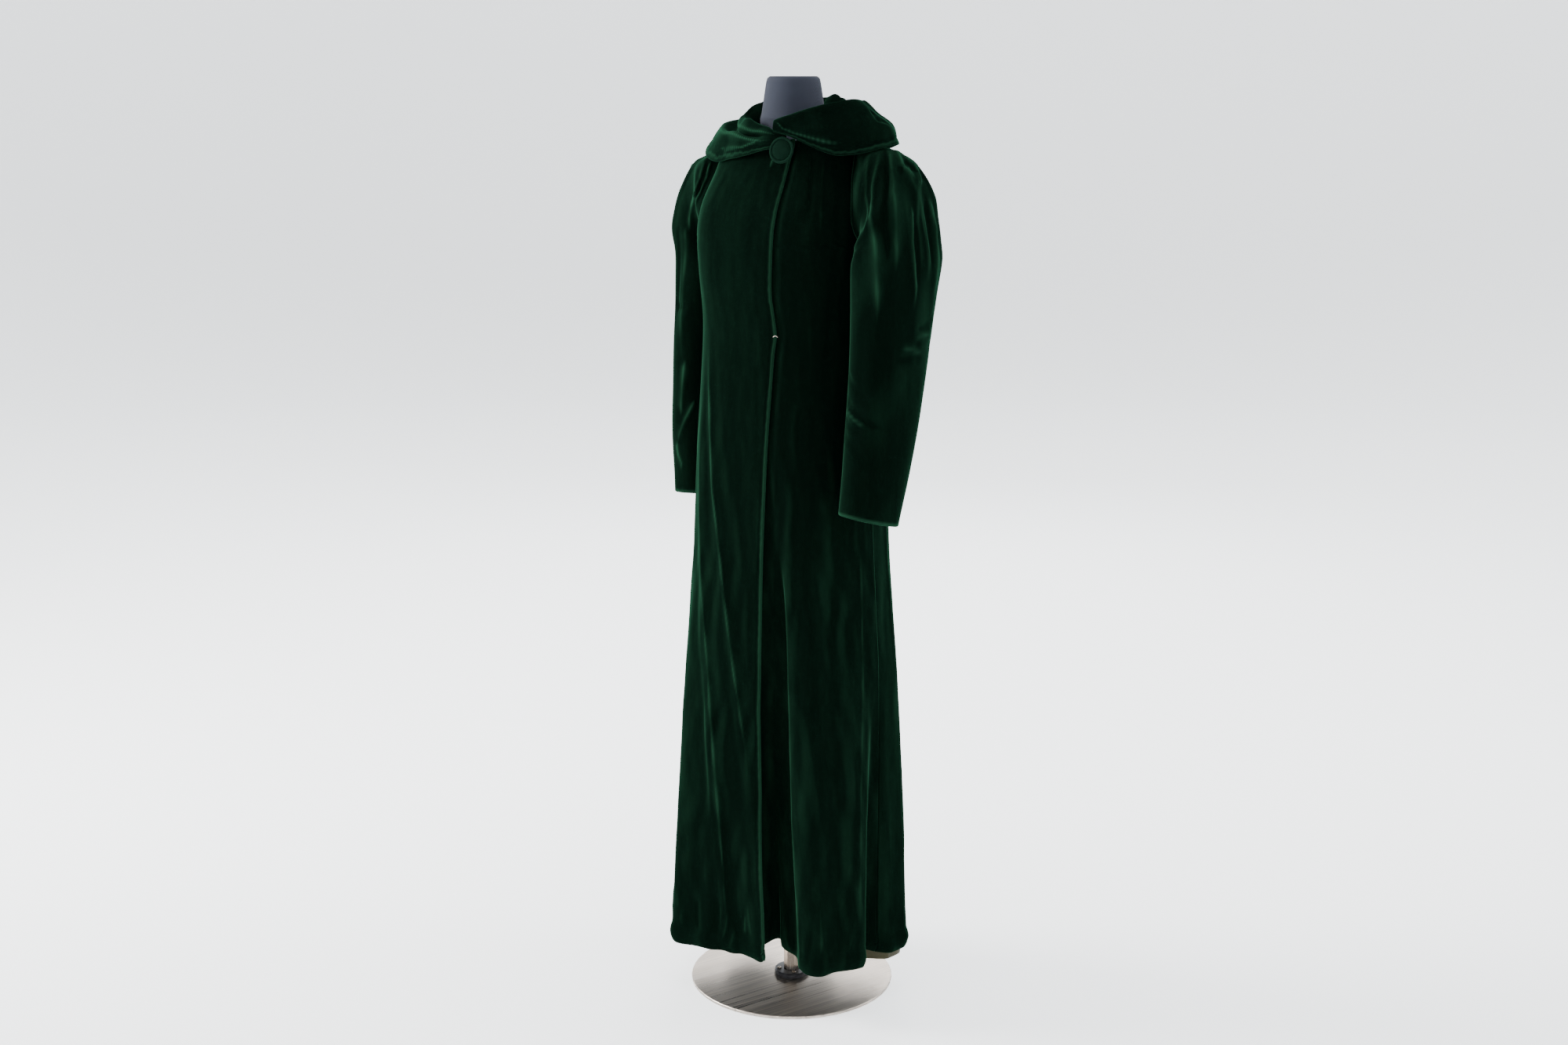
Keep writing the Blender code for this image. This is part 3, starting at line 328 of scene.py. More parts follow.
# On the sleeves, paths run by the turn about the arm from its outer side, forward first, and by
# the way down from the armhole. On the collar they run by angle and by the share of its width.
LEFT_SLEEVE_CREASES = (
    (0.0030, 0.0060, 0.3, ((16.0, 0.050), (34.2, 0.056), (57.6, 0.070), (77.4, 0.088), (88.0, 0.130),
        (94.0, 0.190))),
    (0.0048, 0.0058, 0.65, ((10.0, 0.058), (27.9, 0.072), (45.0, 0.084), (62.1, 0.100), (76.0, 0.125),
        (80.1, 0.150), (78.3, 0.212), (77.4, 0.282), (74.7, 0.344), (76.0, 0.410))),
    (-0.0062, 0.0048, 0.6, ((4.0, 0.062), (18.0, 0.076), (36.0, 0.104), (49.5, 0.131), (58.5, 0.159),
        (66.0, 0.200), (67.0, 0.270))),
    (0.0036, 0.0056, 0.5, ((-2.0, 0.060), (9.0, 0.072), (26.1, 0.098), (35.1, 0.118), (45.9, 0.148),
        (53.1, 0.188), (58.5, 0.226), (58.0, 0.300))),
    (-0.0026, 0.0060, 0.4, ((-6.0, 0.104), (4.0, 0.108), (17.1, 0.114), (27.0, 0.126))),
    (0.0034, 0.0052, 0.8, ((-6.0, 0.068), (0.9, 0.082), (9.0, 0.100), (13.0, 0.114), (9.0, 0.127),
        (-4.5, 0.138))),
    (0.0026, 0.0110, 0.35, ((-24.0, 0.080), (-18.0, 0.105), (-9.0, 0.135), (1.0, 0.164), (8.0, 0.210),
        (10.0, 0.290))),
    (0.0042, 0.0060, 0.6, ((-24.0, 0.160), (-33.3, 0.190), (-41.4, 0.217), (-37.8, 0.254),
        (-32.4, 0.289), (-30.6, 0.332))),
    (-0.0030, 0.0070, 0.3, ((-16.0, 0.170), (-24.0, 0.200), (-28.0, 0.240), (-22.0, 0.290))),
    (0.0014, 0.0100, 0.1, ((30.0, 0.150), (36.0, 0.210), (34.0, 0.300), (38.0, 0.380))),
    (-0.0020, 0.0075, 0.2, ((-46.0, 0.358), (-32.0, 0.363), (-11.7, 0.373), (12.0, 0.377))),
    (-0.0024, 0.0070, 0.2, ((-62.0, 0.402), (-40.0, 0.400), (-11.7, 0.395), (18.0, 0.397))),
    (0.0014, 0.0070, 0.3, ((-50.0, 0.380), (-30.0, 0.382), (-8.0, 0.385), (14.0, 0.387))),
    (-0.0024, 0.0060, 0.3, ((124.0, 0.458), (99.0, 0.479), (84.6, 0.487), (70.0, 0.488))),
    (-0.0030, 0.0080, 0.4, ((122.0, 0.500), (96.3, 0.519), (76.5, 0.532), (54.9, 0.540))),
    (0.0018, 0.0080, 0.5, ((120.0, 0.516), (96.0, 0.532), (76.0, 0.541))),
    (-0.0024, 0.0060, 0.3, ((124.0, 0.531), (93.6, 0.545), (78.0, 0.548))),
    (-0.0024, 0.0080, 0.4, ((126.0, 0.556), (95.4, 0.571), (76.5, 0.594), (66.0, 0.606))),
)
RIGHT_SLEEVE_CREASES = (
    (0.0030, 0.0055, 0.9, ((22.0, 0.056), (38.0, 0.048), (60.0, 0.048), (78.0, 0.060), (88.0, 0.100),
        (93.6, 0.143), (98.1, 0.225))),
    (-0.0034, 0.0050, 0.5, ((26.0, 0.046), (41.4, 0.039), (61.2, 0.037), (78.0, 0.045), (92.0, 0.085),
        (99.0, 0.120))),
    (0.0026, 0.0045, 0.8, ((40.0, 0.032), (51.3, 0.030), (70.2, 0.027), (88.0, 0.030), (100.0, 0.060))),
    (0.0024, 0.0080, 0.5, ((92.0, 0.200), (93.6, 0.246), (88.2, 0.330), (85.5, 0.400), (88.0, 0.480))),
    (-0.0024, 0.0070, 0.3, ((78.0, 0.210), (76.0, 0.300), (74.0, 0.420))),
    (0.0024, 0.0060, 0.9, ((95.0, 0.470), (92.7, 0.502), (90.0, 0.538), (88.2, 0.574))),
    (0.0026, 0.0055, 0.9, ((114.0, 0.538), (106.2, 0.556), (92.7, 0.586), (80.0, 0.618))),
    (0.0022, 0.0050, 0.9, ((79.2, 0.614), (83.7, 0.638), (91.0, 0.654), (88.2, 0.669))),
    (-0.0032, 0.0070, 0.4, ((62.0, 0.372), (78.0, 0.380), (98.0, 0.378))),
)
COLLAR_LEFT_CREASES = (
    (0.0024, 0.034, 0.7, ((18.2, 0.587), (26.3, 0.860), (35.7, 0.915), (47.7, 0.912), (58.2, 0.905),
        (70.0, 0.900))),
    (0.0016, 0.090, 0.06, ((36.0, 0.830), (46.0, 0.800), (60.0, 0.765), (74.0, 0.735), (86.0, 0.730))),
    (-0.0030, 0.035, 0.4, ((92.0, 0.640), (89.0, 0.700), (87.0, 0.760), (93.0, 0.790))),
    (-0.0022, 0.090, 0.3, ((50.0, 0.600), (64.0, 0.640), (78.0, 0.660), (90.0, 0.620))),
    (0.0026, 0.050, 0.7, ((93.0, 0.420), (99.0, 0.600), (101.0, 0.800), (100.0, 0.950))),
    (-0.0030, 0.060, 0.4, ((112.0, 0.450), (114.0, 0.680), (111.0, 0.940))),
    (0.0028, 0.060, 0.6, ((127.0, 0.400), (124.0, 0.660), (127.0, 0.960))),
    (-0.0028, 0.070, 0.4, ((143.0, 0.480), (146.0, 0.720), (142.0, 0.950))),
    (0.0026, 0.060, 0.6, ((163.0, 0.380), (160.0, 0.640), (163.0, 0.930))),
)
COLLAR_RIGHT_CREASES = (
    (0.0042, 0.045, 1.0, ((-92.0, 0.560), (-76.0, 0.535), (-50.0, 0.580), (-17.1, 0.598), (9.7, 0.598),
        (22.0, 0.590))),
    (-0.0066, 0.052, 0.5, ((-80.0, 0.700), (-70.2, 0.675), (-44.0, 0.672), (-20.1, 0.672),
        (4.0, 0.676))),
    (0.0040, 0.042, 1.0, ((-92.0, 0.800), (-78.4, 0.827), (-46.0, 0.835), (-21.4, 0.850), (1.9, 0.872),
        (16.0, 0.800))),
    (0.0016, 0.022, 0.9, ((-60.0, 0.930), (-47.8, 0.944), (-24.4, 0.938), (-5.4, 0.894), (9.7, 0.765))),
    (0.0028, 0.060, 0.6, ((-106.0, 0.420), (-109.0, 0.660), (-105.0, 0.960))),
    (-0.0030, 0.060, 0.4, ((-119.0, 0.480), (-122.0, 0.700), (-118.0, 0.950))),
    (0.0026, 0.060, 0.6, ((-136.0, 0.400), (-133.0, 0.660), (-137.0, 0.950))),
    (-0.0026, 0.070, 0.4, ((-152.0, 0.480), (-149.0, 0.720), (-153.0, 0.950))),
    (0.0026, 0.060, 0.6, ((-168.0, 0.380), (-171.0, 0.640), (-167.0, 0.930))),
)
COLLAR_WIDTHS_PER_DEGREE = 0.029


def lerp_rows(rows, values):
    """Read a table with straight lines between its rows, one array per column."""
    table = np.array(rows)
    return [np.interp(values, table[:, 0], table[:, k]) for k in range(1, table.shape[1])]


def smooth_rows(rows, values):
    """Read a table with a smooth curve through its rows, for an array of values."""
    table = np.asarray(rows, dtype=float)
    keys, data = table[:, 0], table[:, 1:]
    values = np.clip(np.asarray(values, dtype=float), keys[0], keys[-1])
    last = len(keys) - 1
    index = np.clip(np.searchsorted(keys, values, side="left") - 1, 0, last - 1)
    before, after = np.maximum(index - 1, 0), np.minimum(index + 2, last)
    low, high = data[index], data[index + 1]
    span = (keys[index + 1] - keys[index])[..., None]
    t = (values - keys[index])[..., None] / span
    rise_low = (high - data[before]) / (keys[index + 1] - keys[before])[..., None] * span
    rise_high = (data[after] - low) / (keys[after] - keys[index])[..., None] * span
    return (
        low * (2 * t**3 - 3 * t**2 + 1)
        + rise_low * (t**3 - 2 * t**2 + t)
        + high * (3 * t**2 - 2 * t**3)
        + rise_high * (t**3 - t**2)
    )


def smooth_step(value):
    value = np.clip(value, 0.0, 1.0)
    return value * value * (3.0 - 2.0 * value)


def superellipse_radius(angle, half_width, half_depth, squareness):
    across = np.abs(np.sin(angle)) / half_width
    along = np.abs(np.cos(angle)) / half_depth
    return (across**squareness + along**squareness) ** (-1.0 / squareness)


def fold_depth(degrees, height, under):
    """How far the folds push the cloth out at an angle and height."""
    total = np.zeros(np.broadcast(degrees, height).shape)
    for start, angle_start, angle_hem, width_start, width_hem, mid, hem, is_under in FOLDS:
        if is_under and not under:
            continue
        down = np.maximum((start - height) / (start - HEM), 0.0)
        middle = angle_start + (angle_hem - angle_start) * down
        width = width_start + (width_hem - width_start) * down
        off = (degrees - middle + 180.0) % 360.0 - 180.0
        swell = np.where(np.abs(off) < width, np.cos(math.pi / 2 * off / width) ** 2, 0.0)
        total += swell * (mid * np.sin(math.pi * np.minimum(down, 1.0)) + hem * down**1.6)
    return total


def hem_height(degrees, under):
    return HEM - HEM_LIFT * fold_depth(degrees, HEM, under)


def hem_roll(height, hem):
    """The soft rolled hem swells out, then turns under."""
    up = np.clip((height - hem) / HEM_ROLL_HEIGHT, 0.0, 1.0)
    return HEM_ROLL_DEPTH * (np.sin(math.pi * up) - 1.2 * (1.0 - up) ** 3)


def stack(x, y, z):
    return np.stack(np.broadcast_arrays(x, y, z), axis=-1)


def body_face(degrees, height, under, folded):
    """Points of the coat's outer face."""
    section = smooth_rows(BODY_SECTIONS, height)
    half_width, half_depth, centre_y, squareness = np.moveaxis(section, -1, 0)
    angle = np.radians(degrees)
    radius = superellipse_radius(angle, half_width, half_depth, squareness)
    if folded:
        radius = radius + fold_depth(degrees, height, under)
        radius = radius + hem_roll(height, hem_height(degrees, under))
    return stack(radius * np.sin(angle), centre_y - radius * np.cos(angle), height)


def body_point(degrees, height, inset=0.0, under=False, folded=True):
    """Points of the coat's outer face, or that far inside it."""
    step = 0.002
    across = body_face(degrees + 0.8, height, under, folded)
    across = across - body_face(degrees - 0.8, height, under, folded)
    up = body_face(degrees, height + step, under, folded)
    up = up - body_face(degrees, height - step, under, folded)
    outward = unit(np.cross(across, up))
    return body_face(degrees, height, under, folded) - outward * np.asarray(inset)[..., None]


def unit(vectors):
    length = np.linalg.norm(vectors, axis=-1, keepdims=True)
    return vectors / np.maximum(length, 1e-9)


def angle_at_x(x, height):
    """The angle at which the coat's front reaches a distance from the centre front."""
    section = smooth_rows(BODY_SECTIONS, height)
    half_width, half_depth, _, squareness = np.moveaxis(section, -1, 0)
    share = np.clip(np.abs(x) / half_width, 0.0, 0.999)
    depth = half_depth * (1.0 - share**squareness) ** (1.0 / squareness)
    return np.degrees(np.arctan2(x, depth))


def neckline_height(degrees):
    facing = np.cos(np.radians(degrees))
    drop = np.where(facing > 0, NECK_FRONT_DROP, NECK_BACK_DROP)
    return NECK_SIDE_HEIGHT - drop * np.abs(facing) ** 1.3


def armhole_half_angle(height):
    """Half the armhole's angle about the side at a height, or none above and below it."""
    middle = (ARMHOLE_HIGH + ARMHOLE_LOW) / 2
    up = np.clip((height - middle) / (ARMHOLE_HIGH - middle), -1.0, 1.0)
    return ARMHOLE_HALF_ANGLE * np.sqrt(1.0 - up * up) * (1.0 - ARMHOLE_SKEW * up)


def side_gap_angle(height):
    half_width = smooth_rows(BODY_SECTIONS, height)[..., 0]
    return np.degrees(GAP / 2 / half_width)


def upper_edge(height):
    return angle_at_x(lerp_rows(FRONT_EDGE, height)[0], height)


def under_edge(height):
    return angle_at_x(lerp_rows(FRONT_EDGE, height)[1], height)


def left_front_side(height):
    return 90.0 - side_gap_angle(height) - armhole_half_angle(height)


def left_back_side(height):
    return 90.0 + side_gap_angle(height) + armhole_half_angle(height)


def right_front_side(height):
    return -left_front_side(height)


def right_back_side(height):
    return 360.0 - left_back_side(height)


def lap_inset(degrees, height):
    """The under front lies inside the upper front and comes out past its edge."""
    return LAP_INSET * (1.0 - smooth_step((degrees - upper_edge(height) - LAP_START) / LAP_WIDTH))


def crease_relief(across, along, creases, metres_across=1.0):
    """The height of all creases over a sheet, and the highlight painted along their ridges, negative
    along troughs.
    """
    relief = np.zeros(across.shape)
    shine = np.zeros(across.shape)
    for depth, width, light, path in creases:
        path = np.array(path) * (metres_across, 1.0)
        x, y = across * metres_across, along
        steps = np.linalg.norm(np.diff(path, axis=0), axis=1)
        total = steps.sum()
        nearest = np.full(across.shape, 9.0)
        share = np.zeros(across.shape)
        done = 0.0
        for start, end, length in zip(path, path[1:], steps):
            run = (end - start) / length
            t = np.clip((x - start[0]) * run[0] + (y - start[1]) * run[1], 0.0, length)
            distance = np.hypot(x - start[0] - run[0] * t, y - start[1] - run[1] * t)
            closer = distance < nearest
            nearest = np.where(closer, distance, nearest)
            share = np.where(closer, (done + t) / total, share)
            done += length
        taper = smooth_step(share * 6.0) * smooth_step((1.0 - share) * 4.0)
        swell = np.exp(-((nearest / width) ** 2)) * taper
        relief += depth * swell
        # Painted highlight along each ridge, uneven along its length; troughs get a negative value that
        # lowers it.
        uneven = 0.70 + 0.30 * np.sin(70.0 * total * share + 5.0 * path[0, 0])
        line = np.exp(-((nearest / (0.32 * width)) ** 2)) + 0.35 * swell
        shine += light * np.sign(depth) * uneven * line * taper
    return relief, shine


def soft_waves(across, along, seed, height, widths, stretch):
    """Low uneven waves, drawn from a seed. They run long in the along direction."""
    chance = random.Random(seed)
    total = np.zeros(across.shape)
    for _ in range(9):
        width = chance.uniform(*widths)
        lean = chance.uniform(-0.25, 0.25)
        phase, drift = chance.uniform(0.0, 6.28), chance.uniform(0.0, 6.28)
        line = across + lean * along
        sway = np.sin(2 * math.pi * along / (width * stretch) + drift)
        total += np.sin(2 * math.pi * line / width + phase + 0.8 * sway) * (0.6 + 0.4 * sway)
    return total * height / 3.0


def grid_normals(grid, closed):
    """Outward normals of a grid of points, whose columns may close into a ring."""
    if closed:
        across = np.roll(grid, -1, axis=1) - np.roll(grid, 1, axis=1)
    else:
        across = np.gradient(grid, axis=1)
    return unit(np.cross(across, np.gradient(grid, axis=0)))


def turned_edge(grid, shine, radius, back, closed=False):
    """Roll the grid's last row under: round the edge, then back along the inner face."""
    last, before = grid[-1], grid[-2]
    outward = grid_normals(grid, closed)[-1]
    onward = unit(last - before)
    rows, lights = [], []
    for step in range(1, 9):
        turn = math.pi * step / 8
        rows.append(last + onward * (radius * math.sin(turn)) - outward * (radius * (1 - math.cos(turn))))
        # Painted highlight round the rolled edge, strongest at its outermost point.
        lights.append(0.55 * math.sin(turn) ** 2)
    for step in range(1, 5):
        rows.append(last - onward * (back * step / 4) - outward * (2 * radius))
        lights.append(0.0)
    light = np.array(lights)[:, None] + shine[-1][None, :] * 0.5
    return np.concatenate([grid, np.array(rows)]), np.concatenate([shine, light])


def sheet_mesh(name, grid, shine, closed=False):
    """A mesh of quads over a grid of points, with the highlight painted on its ridges as an attribute."""
    rows, columns = grid.shape[:2]
    index = np.arange(rows * columns).reshape(rows, columns)
    if closed:
        index = np.concatenate([index, index[:, :1]], axis=1)
    corners = (index[:-1, :-1], index[:-1, 1:], index[1:, 1:], index[1:, :-1])
    faces = np.stack([corner.ravel() for corner in corners], axis=1)
    mesh = bpy.data.meshes.new(name)
    mesh.from_pydata(grid.reshape(-1, 3).tolist(), [], faces.tolist())
    light = mesh.attributes.new("ridge_light", "FLOAT", "POINT")
    light.data.foreach_set("value", np.clip(shine, -1.0, 1.5).ravel())
    mesh.shade_smooth()
    return mesh


def new_piece(name, mesh, material):
    """Link a piece to the scene. It rides on the coat's one body."""
    mesh.materials.append(material)
    piece = bpy.data.objects.new(name, mesh)
    bpy.context.scene.collection.objects.link(piece)
    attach(piece, "root")
    return piece


def new_cloth(name, grid, shine, thickness, material, closed=False):
    """A piece of cloth: a thin shell whose outer face is the grid."""
    piece = new_piece(name, sheet_mesh(name, grid, shine, closed), material)
    shell = piece.modifiers.new("Cloth", "SOLIDIFY")
    shell.thickness = thickness
    shell.offset = -1.0
    shell.use_even_offset = False
    return piece


def panel_heights(rows, hem_radius):
    low = HEM + hem_radius
    near_hem = np.linspace(low, low + 0.04, 14)[:-1]
    return np.concatenate([near_hem, np.linspace(low + 0.04, ARMHOLE_HIGH, rows)])


def hem_shares(first, last, columns, under):
    """Shares of a panel's angle that give columns of like width at its folded hem."""
    shares = np.linspace(0.0, 1.0, 600)
    hem = body_face(first + (last - first) * shares, np.full(600, HEM), under, True)
    lengths = np.concatenate([[0.0], np.cumsum(np.linalg.norm(np.diff(hem, axis=0), axis=1))])
    even = np.interp(np.linspace(0.0, lengths[-1], columns), lengths, shares)
    return 0.75 * even + 0.25 * np.linspace(0.0, 1.0, columns)


def corner_lift(metres_in):
    """How far a rounded lower corner rises, by the distance in from the open edge."""
    out = 1.0 - np.clip(metres_in / CORNER_RADIUS, 0.0, 1.0)
    return CORNER_RADIUS * (1.0 - np.sqrt(1.0 - 0.96 * out**2))


def panel_sheet(start_angle, end_angle, columns, rows, creases, seed, under=False, corner=False):
    """A panel's outer face from its hem to the neckline, with its creases and waves."""
    sizes = bpy.context.scene.coat_cloth
    hem = np.array(HEM)
    shares = hem_shares(float(start_angle(hem)), float(end_angle(hem)), columns, under)[None, :]
    heights = panel_heights(rows, sizes.hem_radius)[:, None]
    degrees = start_angle(heights) + (end_angle(heights) - start_angle(heights)) * shares
    lift = hem_height(degrees, under) - HEM
    bent = heights + lift * (1.0 - smooth_step((heights - HEM) / HEM_LIFT_REACH))
    if corner:
        rise = corner_lift((end_angle(heights) - degrees) * METRES_PER_DEGREE)
        bent = bent + rise * np.clip(1.0 - (heights - HEM) / (3.0 * CORNER_RADIUS), 0.0, 1.0)
    top = np.full(1, ARMHOLE_HIGH)
    last = (start_angle(top) + (end_angle(top) - start_angle(top)) * shares)
    rises = np.linspace(0.0, 1.0, 9)[1:, None]
    neck = ARMHOLE_HIGH + (neckline_height(last) - ARMHOLE_HIGH) * rises
    degrees = np.concatenate([degrees, np.repeat(last, 8, axis=0)])
    lap_heights = np.concatenate([heights, np.full((8, 1), ARMHOLE_HIGH)])
    bent = np.concatenate([bent, neck])
    inset = lap_inset(degrees, lap_heights) if under else np.zeros(degrees.shape)

    relief, shine = crease_relief(degrees, bent, creases, METRES_PER_DEGREE)
    waves = soft_waves(degrees * METRES_PER_DEGREE, bent, seed, PANEL_WAVE, (0.025, 0.11), 6.0)
    calm = 0.35 + 0.65 * smooth_step((1.20 - bent) / 0.5)
    calm = smooth_step((ARMHOLE_HIGH - bent) / 0.10) * calm
    relief = relief + waves * calm
    edge = smooth_step(np.minimum(shares, 1.0 - shares) / 0.02)
    relief = relief * (0.25 + 0.75 * edge)
    grid = body_point(degrees, bent, inset - relief, under)
    # Painted highlight on the crests of the waves, less in their hollows.
    shine = shine + 0.15 * np.clip(waves * calm / PANEL_WAVE, -1.0, 1.0)
    return grid, shine


def hem_turned(grid, shine):
    """Roll the hem under, then put the rows back in order from the hem up."""
    sizes = bpy.context.scene.coat_cloth
    grid, shine = turned_edge(grid[::-1, ::-1], shine[::-1, ::-1], sizes.hem_radius, HEM_TURNING)
    return grid[::-1, ::-1], shine[::-1, ::-1]


def hem_crinkles(first, last, count, seed):
    """Short uneven creases just above the hem, between two angles."""
    chance = random.Random(seed)
    creases = []
    for index in range(count):
        turn = first + (last - first) * (index + chance.uniform(0.2, 0.8)) / count
        low = HEM + chance.uniform(0.008, 0.050)
        tall, lean = chance.uniform(0.03, 0.10), chance.uniform(-6.0, 6.0)
        depth = chance.uniform(0.0010, 0.0024) * chance.choice((1, -1))
        path = ((turn, low), (turn + 0.6 * lean, low + 0.45 * tall), (turn + lean, low + tall))
        creases.append((depth, chance.uniform(0.004, 0.008), chance.uniform(0.1, 0.35), path))
    return tuple(creases)


def seam_allowance(grid, shine):
    """Carry both side edges on, inside the neighbours, as a seam allowance does."""
    normals = grid_normals(grid, False)
    sides = []
    for place, inner in ((0, 1), (-1, -2)):
        seam = grid[:, place]
        away = unit(seam - grid[:, inner])
        under = seam - normals[:, place] * (WALL + SEAM_TUCK)
        sides.append([under, under + away * SEAM_ALLOWANCE])
    first, last = sides
    columns = [np.stack(first[::-1], axis=1), grid, np.stack(last, axis=1)]
    return np.concatenate(columns, axis=1), np.pad(shine, ((0, 0), (2, 2)))


def edge_turned(grid, shine):
    """Roll a panel's last column under."""
    sizes = bpy.context.scene.coat_cloth
    grid = np.swapaxes(grid, 0, 1)[:, ::-1]
    shine = shine.T[:, ::-1]
    grid, shine = turned_edge(grid, shine, sizes.edge_radius, FRONT_TURNING)
    return np.swapaxes(grid[:, ::-1], 0, 1), shine[:, ::-1].T


def oval_point(turn, half_long, half_deep, squareness):
    """Points of a rounded, slightly square oval. Turn 0 is its outer end."""
    radius = superellipse_radius(turn, half_deep, half_long, squareness)
    return radius * np.cos(turn), radius * np.sin(turn)


def armhole_ring(side, out, spread, turns):
    """The sleeve's seam ring: the armhole's edge moved off the body and a little outward."""
    middle = (ARMHOLE_HIGH + ARMHOLE_LOW) / 2
    height = middle + (ARMHOLE_HIGH - middle) * np.cos(turns)
    forward = np.where(np.sin(turns) > 0, -1.0, 1.0)
    ring = body_point(side * (90.0 + forward * armhole_half_angle(height)), height)
    centre = ring.mean(axis=0)
    away = unit(ring - centre)
    normal = unit(np.cross(np.roll(ring, -1, axis=0) - np.roll(ring, 1, axis=0), away))
    normal = np.where(normal[:, :1] * side < 0, -normal, normal)
    return ring + normal * out + away * spread


def sleeve_sheet(side, head, hang, turns_count, rows, seed, creases):
    """A sleeve's outer face from its armhole seam to the cuff."""
    turns = 2 * math.pi * np.arange(turns_count) / turns_count
    rings = [armhole_ring(side, GAP, 0.0012, turns), armhole_ring(side, 0.005, 0.0025, turns)]
    for swing, reach, half_depth, centre_y, squareness in head:
        lean = math.radians(swing)
        half, mid = (reach - UNDERARM_RADIUS) / 2, (reach + UNDERARM_RADIUS) / 2
        long, deep = oval_point(turns, half, half_depth, squareness)
        along = mid + long
        x = UNDERARM_X + along * math.sin(lean)
        z = UNDERARM_Z + along * math.cos(lean)
        rings.append(stack(side * x, centre_y - deep, z))
    for height, centre_x, centre_y, half_width, half_depth, tilt, squareness in hang:
        across, deep = oval_point(turns, half_width, half_depth, squareness)
        z = height + tilt * deep - CUFF_LEAN * tilt * across
        rings.append(stack(side * (centre_x + across), centre_y - deep, z))
    rings = np.array(rings)
    outer = np.linalg.norm(np.diff(rings[:, 0], axis=0), axis=1)
    lengths = np.concatenate([[0.0], np.cumsum(outer)])
    table = np.concatenate([lengths[:, None], rings.reshape(len(rings), -1)], axis=1)
    along = lengths[-1] * np.linspace(0.0, 1.0, rows) ** 1.15
    grid = smooth_rows(table, along).reshape(rows, turns_count, 3)

    turn_degrees = (np.degrees(turns) + 180.0) % 360.0 - 180.0
    wide_turn, wide_along = np.broadcast_arrays(turn_degrees[None, :], along[:, None])
    relief, shine = crease_relief(wide_turn, wide_along, creases, SLEEVE_METRES_PER_DEGREE)
    waves = ring_waves(np.radians(wide_turn), wide_along, seed)
    fade = smooth_step(wide_along / 0.012)
    relief = (relief + waves) * fade
    normals = grid_normals(grid, True) * side
    grid = grid + normals * relief[..., None]
    # Painted highlight on the crests of the waves and a painted bright line along the cuff's edge.
    cuff = lengths[-1] - wide_along
    ragged = 0.002 + 0.0012 * np.sin(7 * np.radians(wide_turn) + seed) ** 2
    return grid, shine + 90.0 * waves + 0.9 * np.exp(-((cuff / ragged) ** 2))


def behind(creases):
    """The same sleeve creases on the hidden side of the arm, a little shifted."""
    return tuple(
        (depth, width, light, tuple((-0.94 * turn - 4.0, 1.05 * along + 0.006) for turn, along in path))
        for depth, width, light, path in creases)


def ring_waves(turn, along, seed):
    """Soft waves round a sleeve that close on themselves."""
    chance = random.Random(seed + 50)
    total = np.zeros(turn.shape)
    for _ in range(8):
        count = chance.randint(2, 6)
        length = chance.uniform(0.10, 0.45)
        slant = chance.choice((-1, 1))
        phase = chance.uniform(0.0, 6.28)
        total += np.sin(count * turn + slant * 2 * math.pi * along / length + phase)
    return total * 0.0007 / 2.5


def collar_sheet(rows, angle_count, profile_count, seed, creases):
    """The collar's visible face, from its neck seam over the crest to its edge."""
    angles = np.linspace(rows[0][0], rows[-1][0], angle_count)
    values = smooth_rows(rows, angles)
    lift, out = values[:, 0], values[:, 1]
    folds = values[:, 2:]
    seam_height = neckline_height(angles)
    seam = body_point(angles, seam_height)
    seam_radius = np.hypot(seam[:, 0], seam[:, 1] - NECK_CENTRE_Y) + out
    seam_height = seam_height + lift + COLLAR_SEAM_LIFT
    crest_radius, crest_height = folds[:, 0], folds[:, 1]
    lean = STAND_LEAN * (crest_radius - CREST_HALF_WIDTH - seam_radius)
    radii = [seam_radius, seam_radius + lean]
    radii += [crest_radius - CREST_HALF_WIDTH, crest_radius + CREST_HALF_WIDTH]
    heights = [seam_height, seam_height + STAND_RISE * (crest_height - seam_height)]
    heights += [crest_height - CREST_ROUND, crest_height - CREST_ROUND]
    for k in range(1, 4):
        radii.append(folds[:, 2 * k])
        heights.append(folds[:, 2 * k + 1])
    keys = np.arange(7.0)[:, None]
    table = np.concatenate([keys, np.array(radii), np.array(heights)], axis=1)
    steps = np.linspace(0.0, 6.0, profile_count)
    profile = smooth_rows(table, steps)
    radius, height = profile[:, :angle_count], profile[:, angle_count:]
    wide = np.radians(angles)[None, :]
    grid = stack(radius * np.sin(wide), NECK_CENTRE_Y - radius * np.cos(wide), height)
    degrees, share = np.broadcast_arrays(angles[None, :], steps[:, None] / 6.0)
    relief, shine = crease_relief(degrees, share, creases, COLLAR_WIDTHS_PER_DEGREE)
    waves = soft_waves(
        degrees * COLLAR_METRES_PER_DEGREE, share * COLLAR_WIDTH, seed, COLLAR_WAVE, (0.05, 0.12), 1.6)
    fade = smooth_step((share - 0.12) / 0.25)
    sway = 0.004 * np.sin(degrees * 0.31 + seed) + 0.003 * np.sin(degrees * 0.83)
    sway = sway + 0.0025 * np.sin(degrees * 1.9 + 0.7 * seed)
    seam = np.exp(-(((share - 0.955 - sway) / 0.014) ** 2))
    relief = relief + (waves - 0.0011 * seam)
    # Painted highlight just inside the collar's edge, less along the seam line; below, painted highlight
    # on the wave crests.
    shine = shine + 0.5 * np.exp(-(((share - 0.978 - sway) / 0.012) ** 2)) - 0.3 * seam
    grid = grid - grid_normals(grid, False) * (relief * fade)[..., None]
    return grid, shine + 0.1 * np.clip(waves / COLLAR_WAVE, -1.0, 1.0) * fade


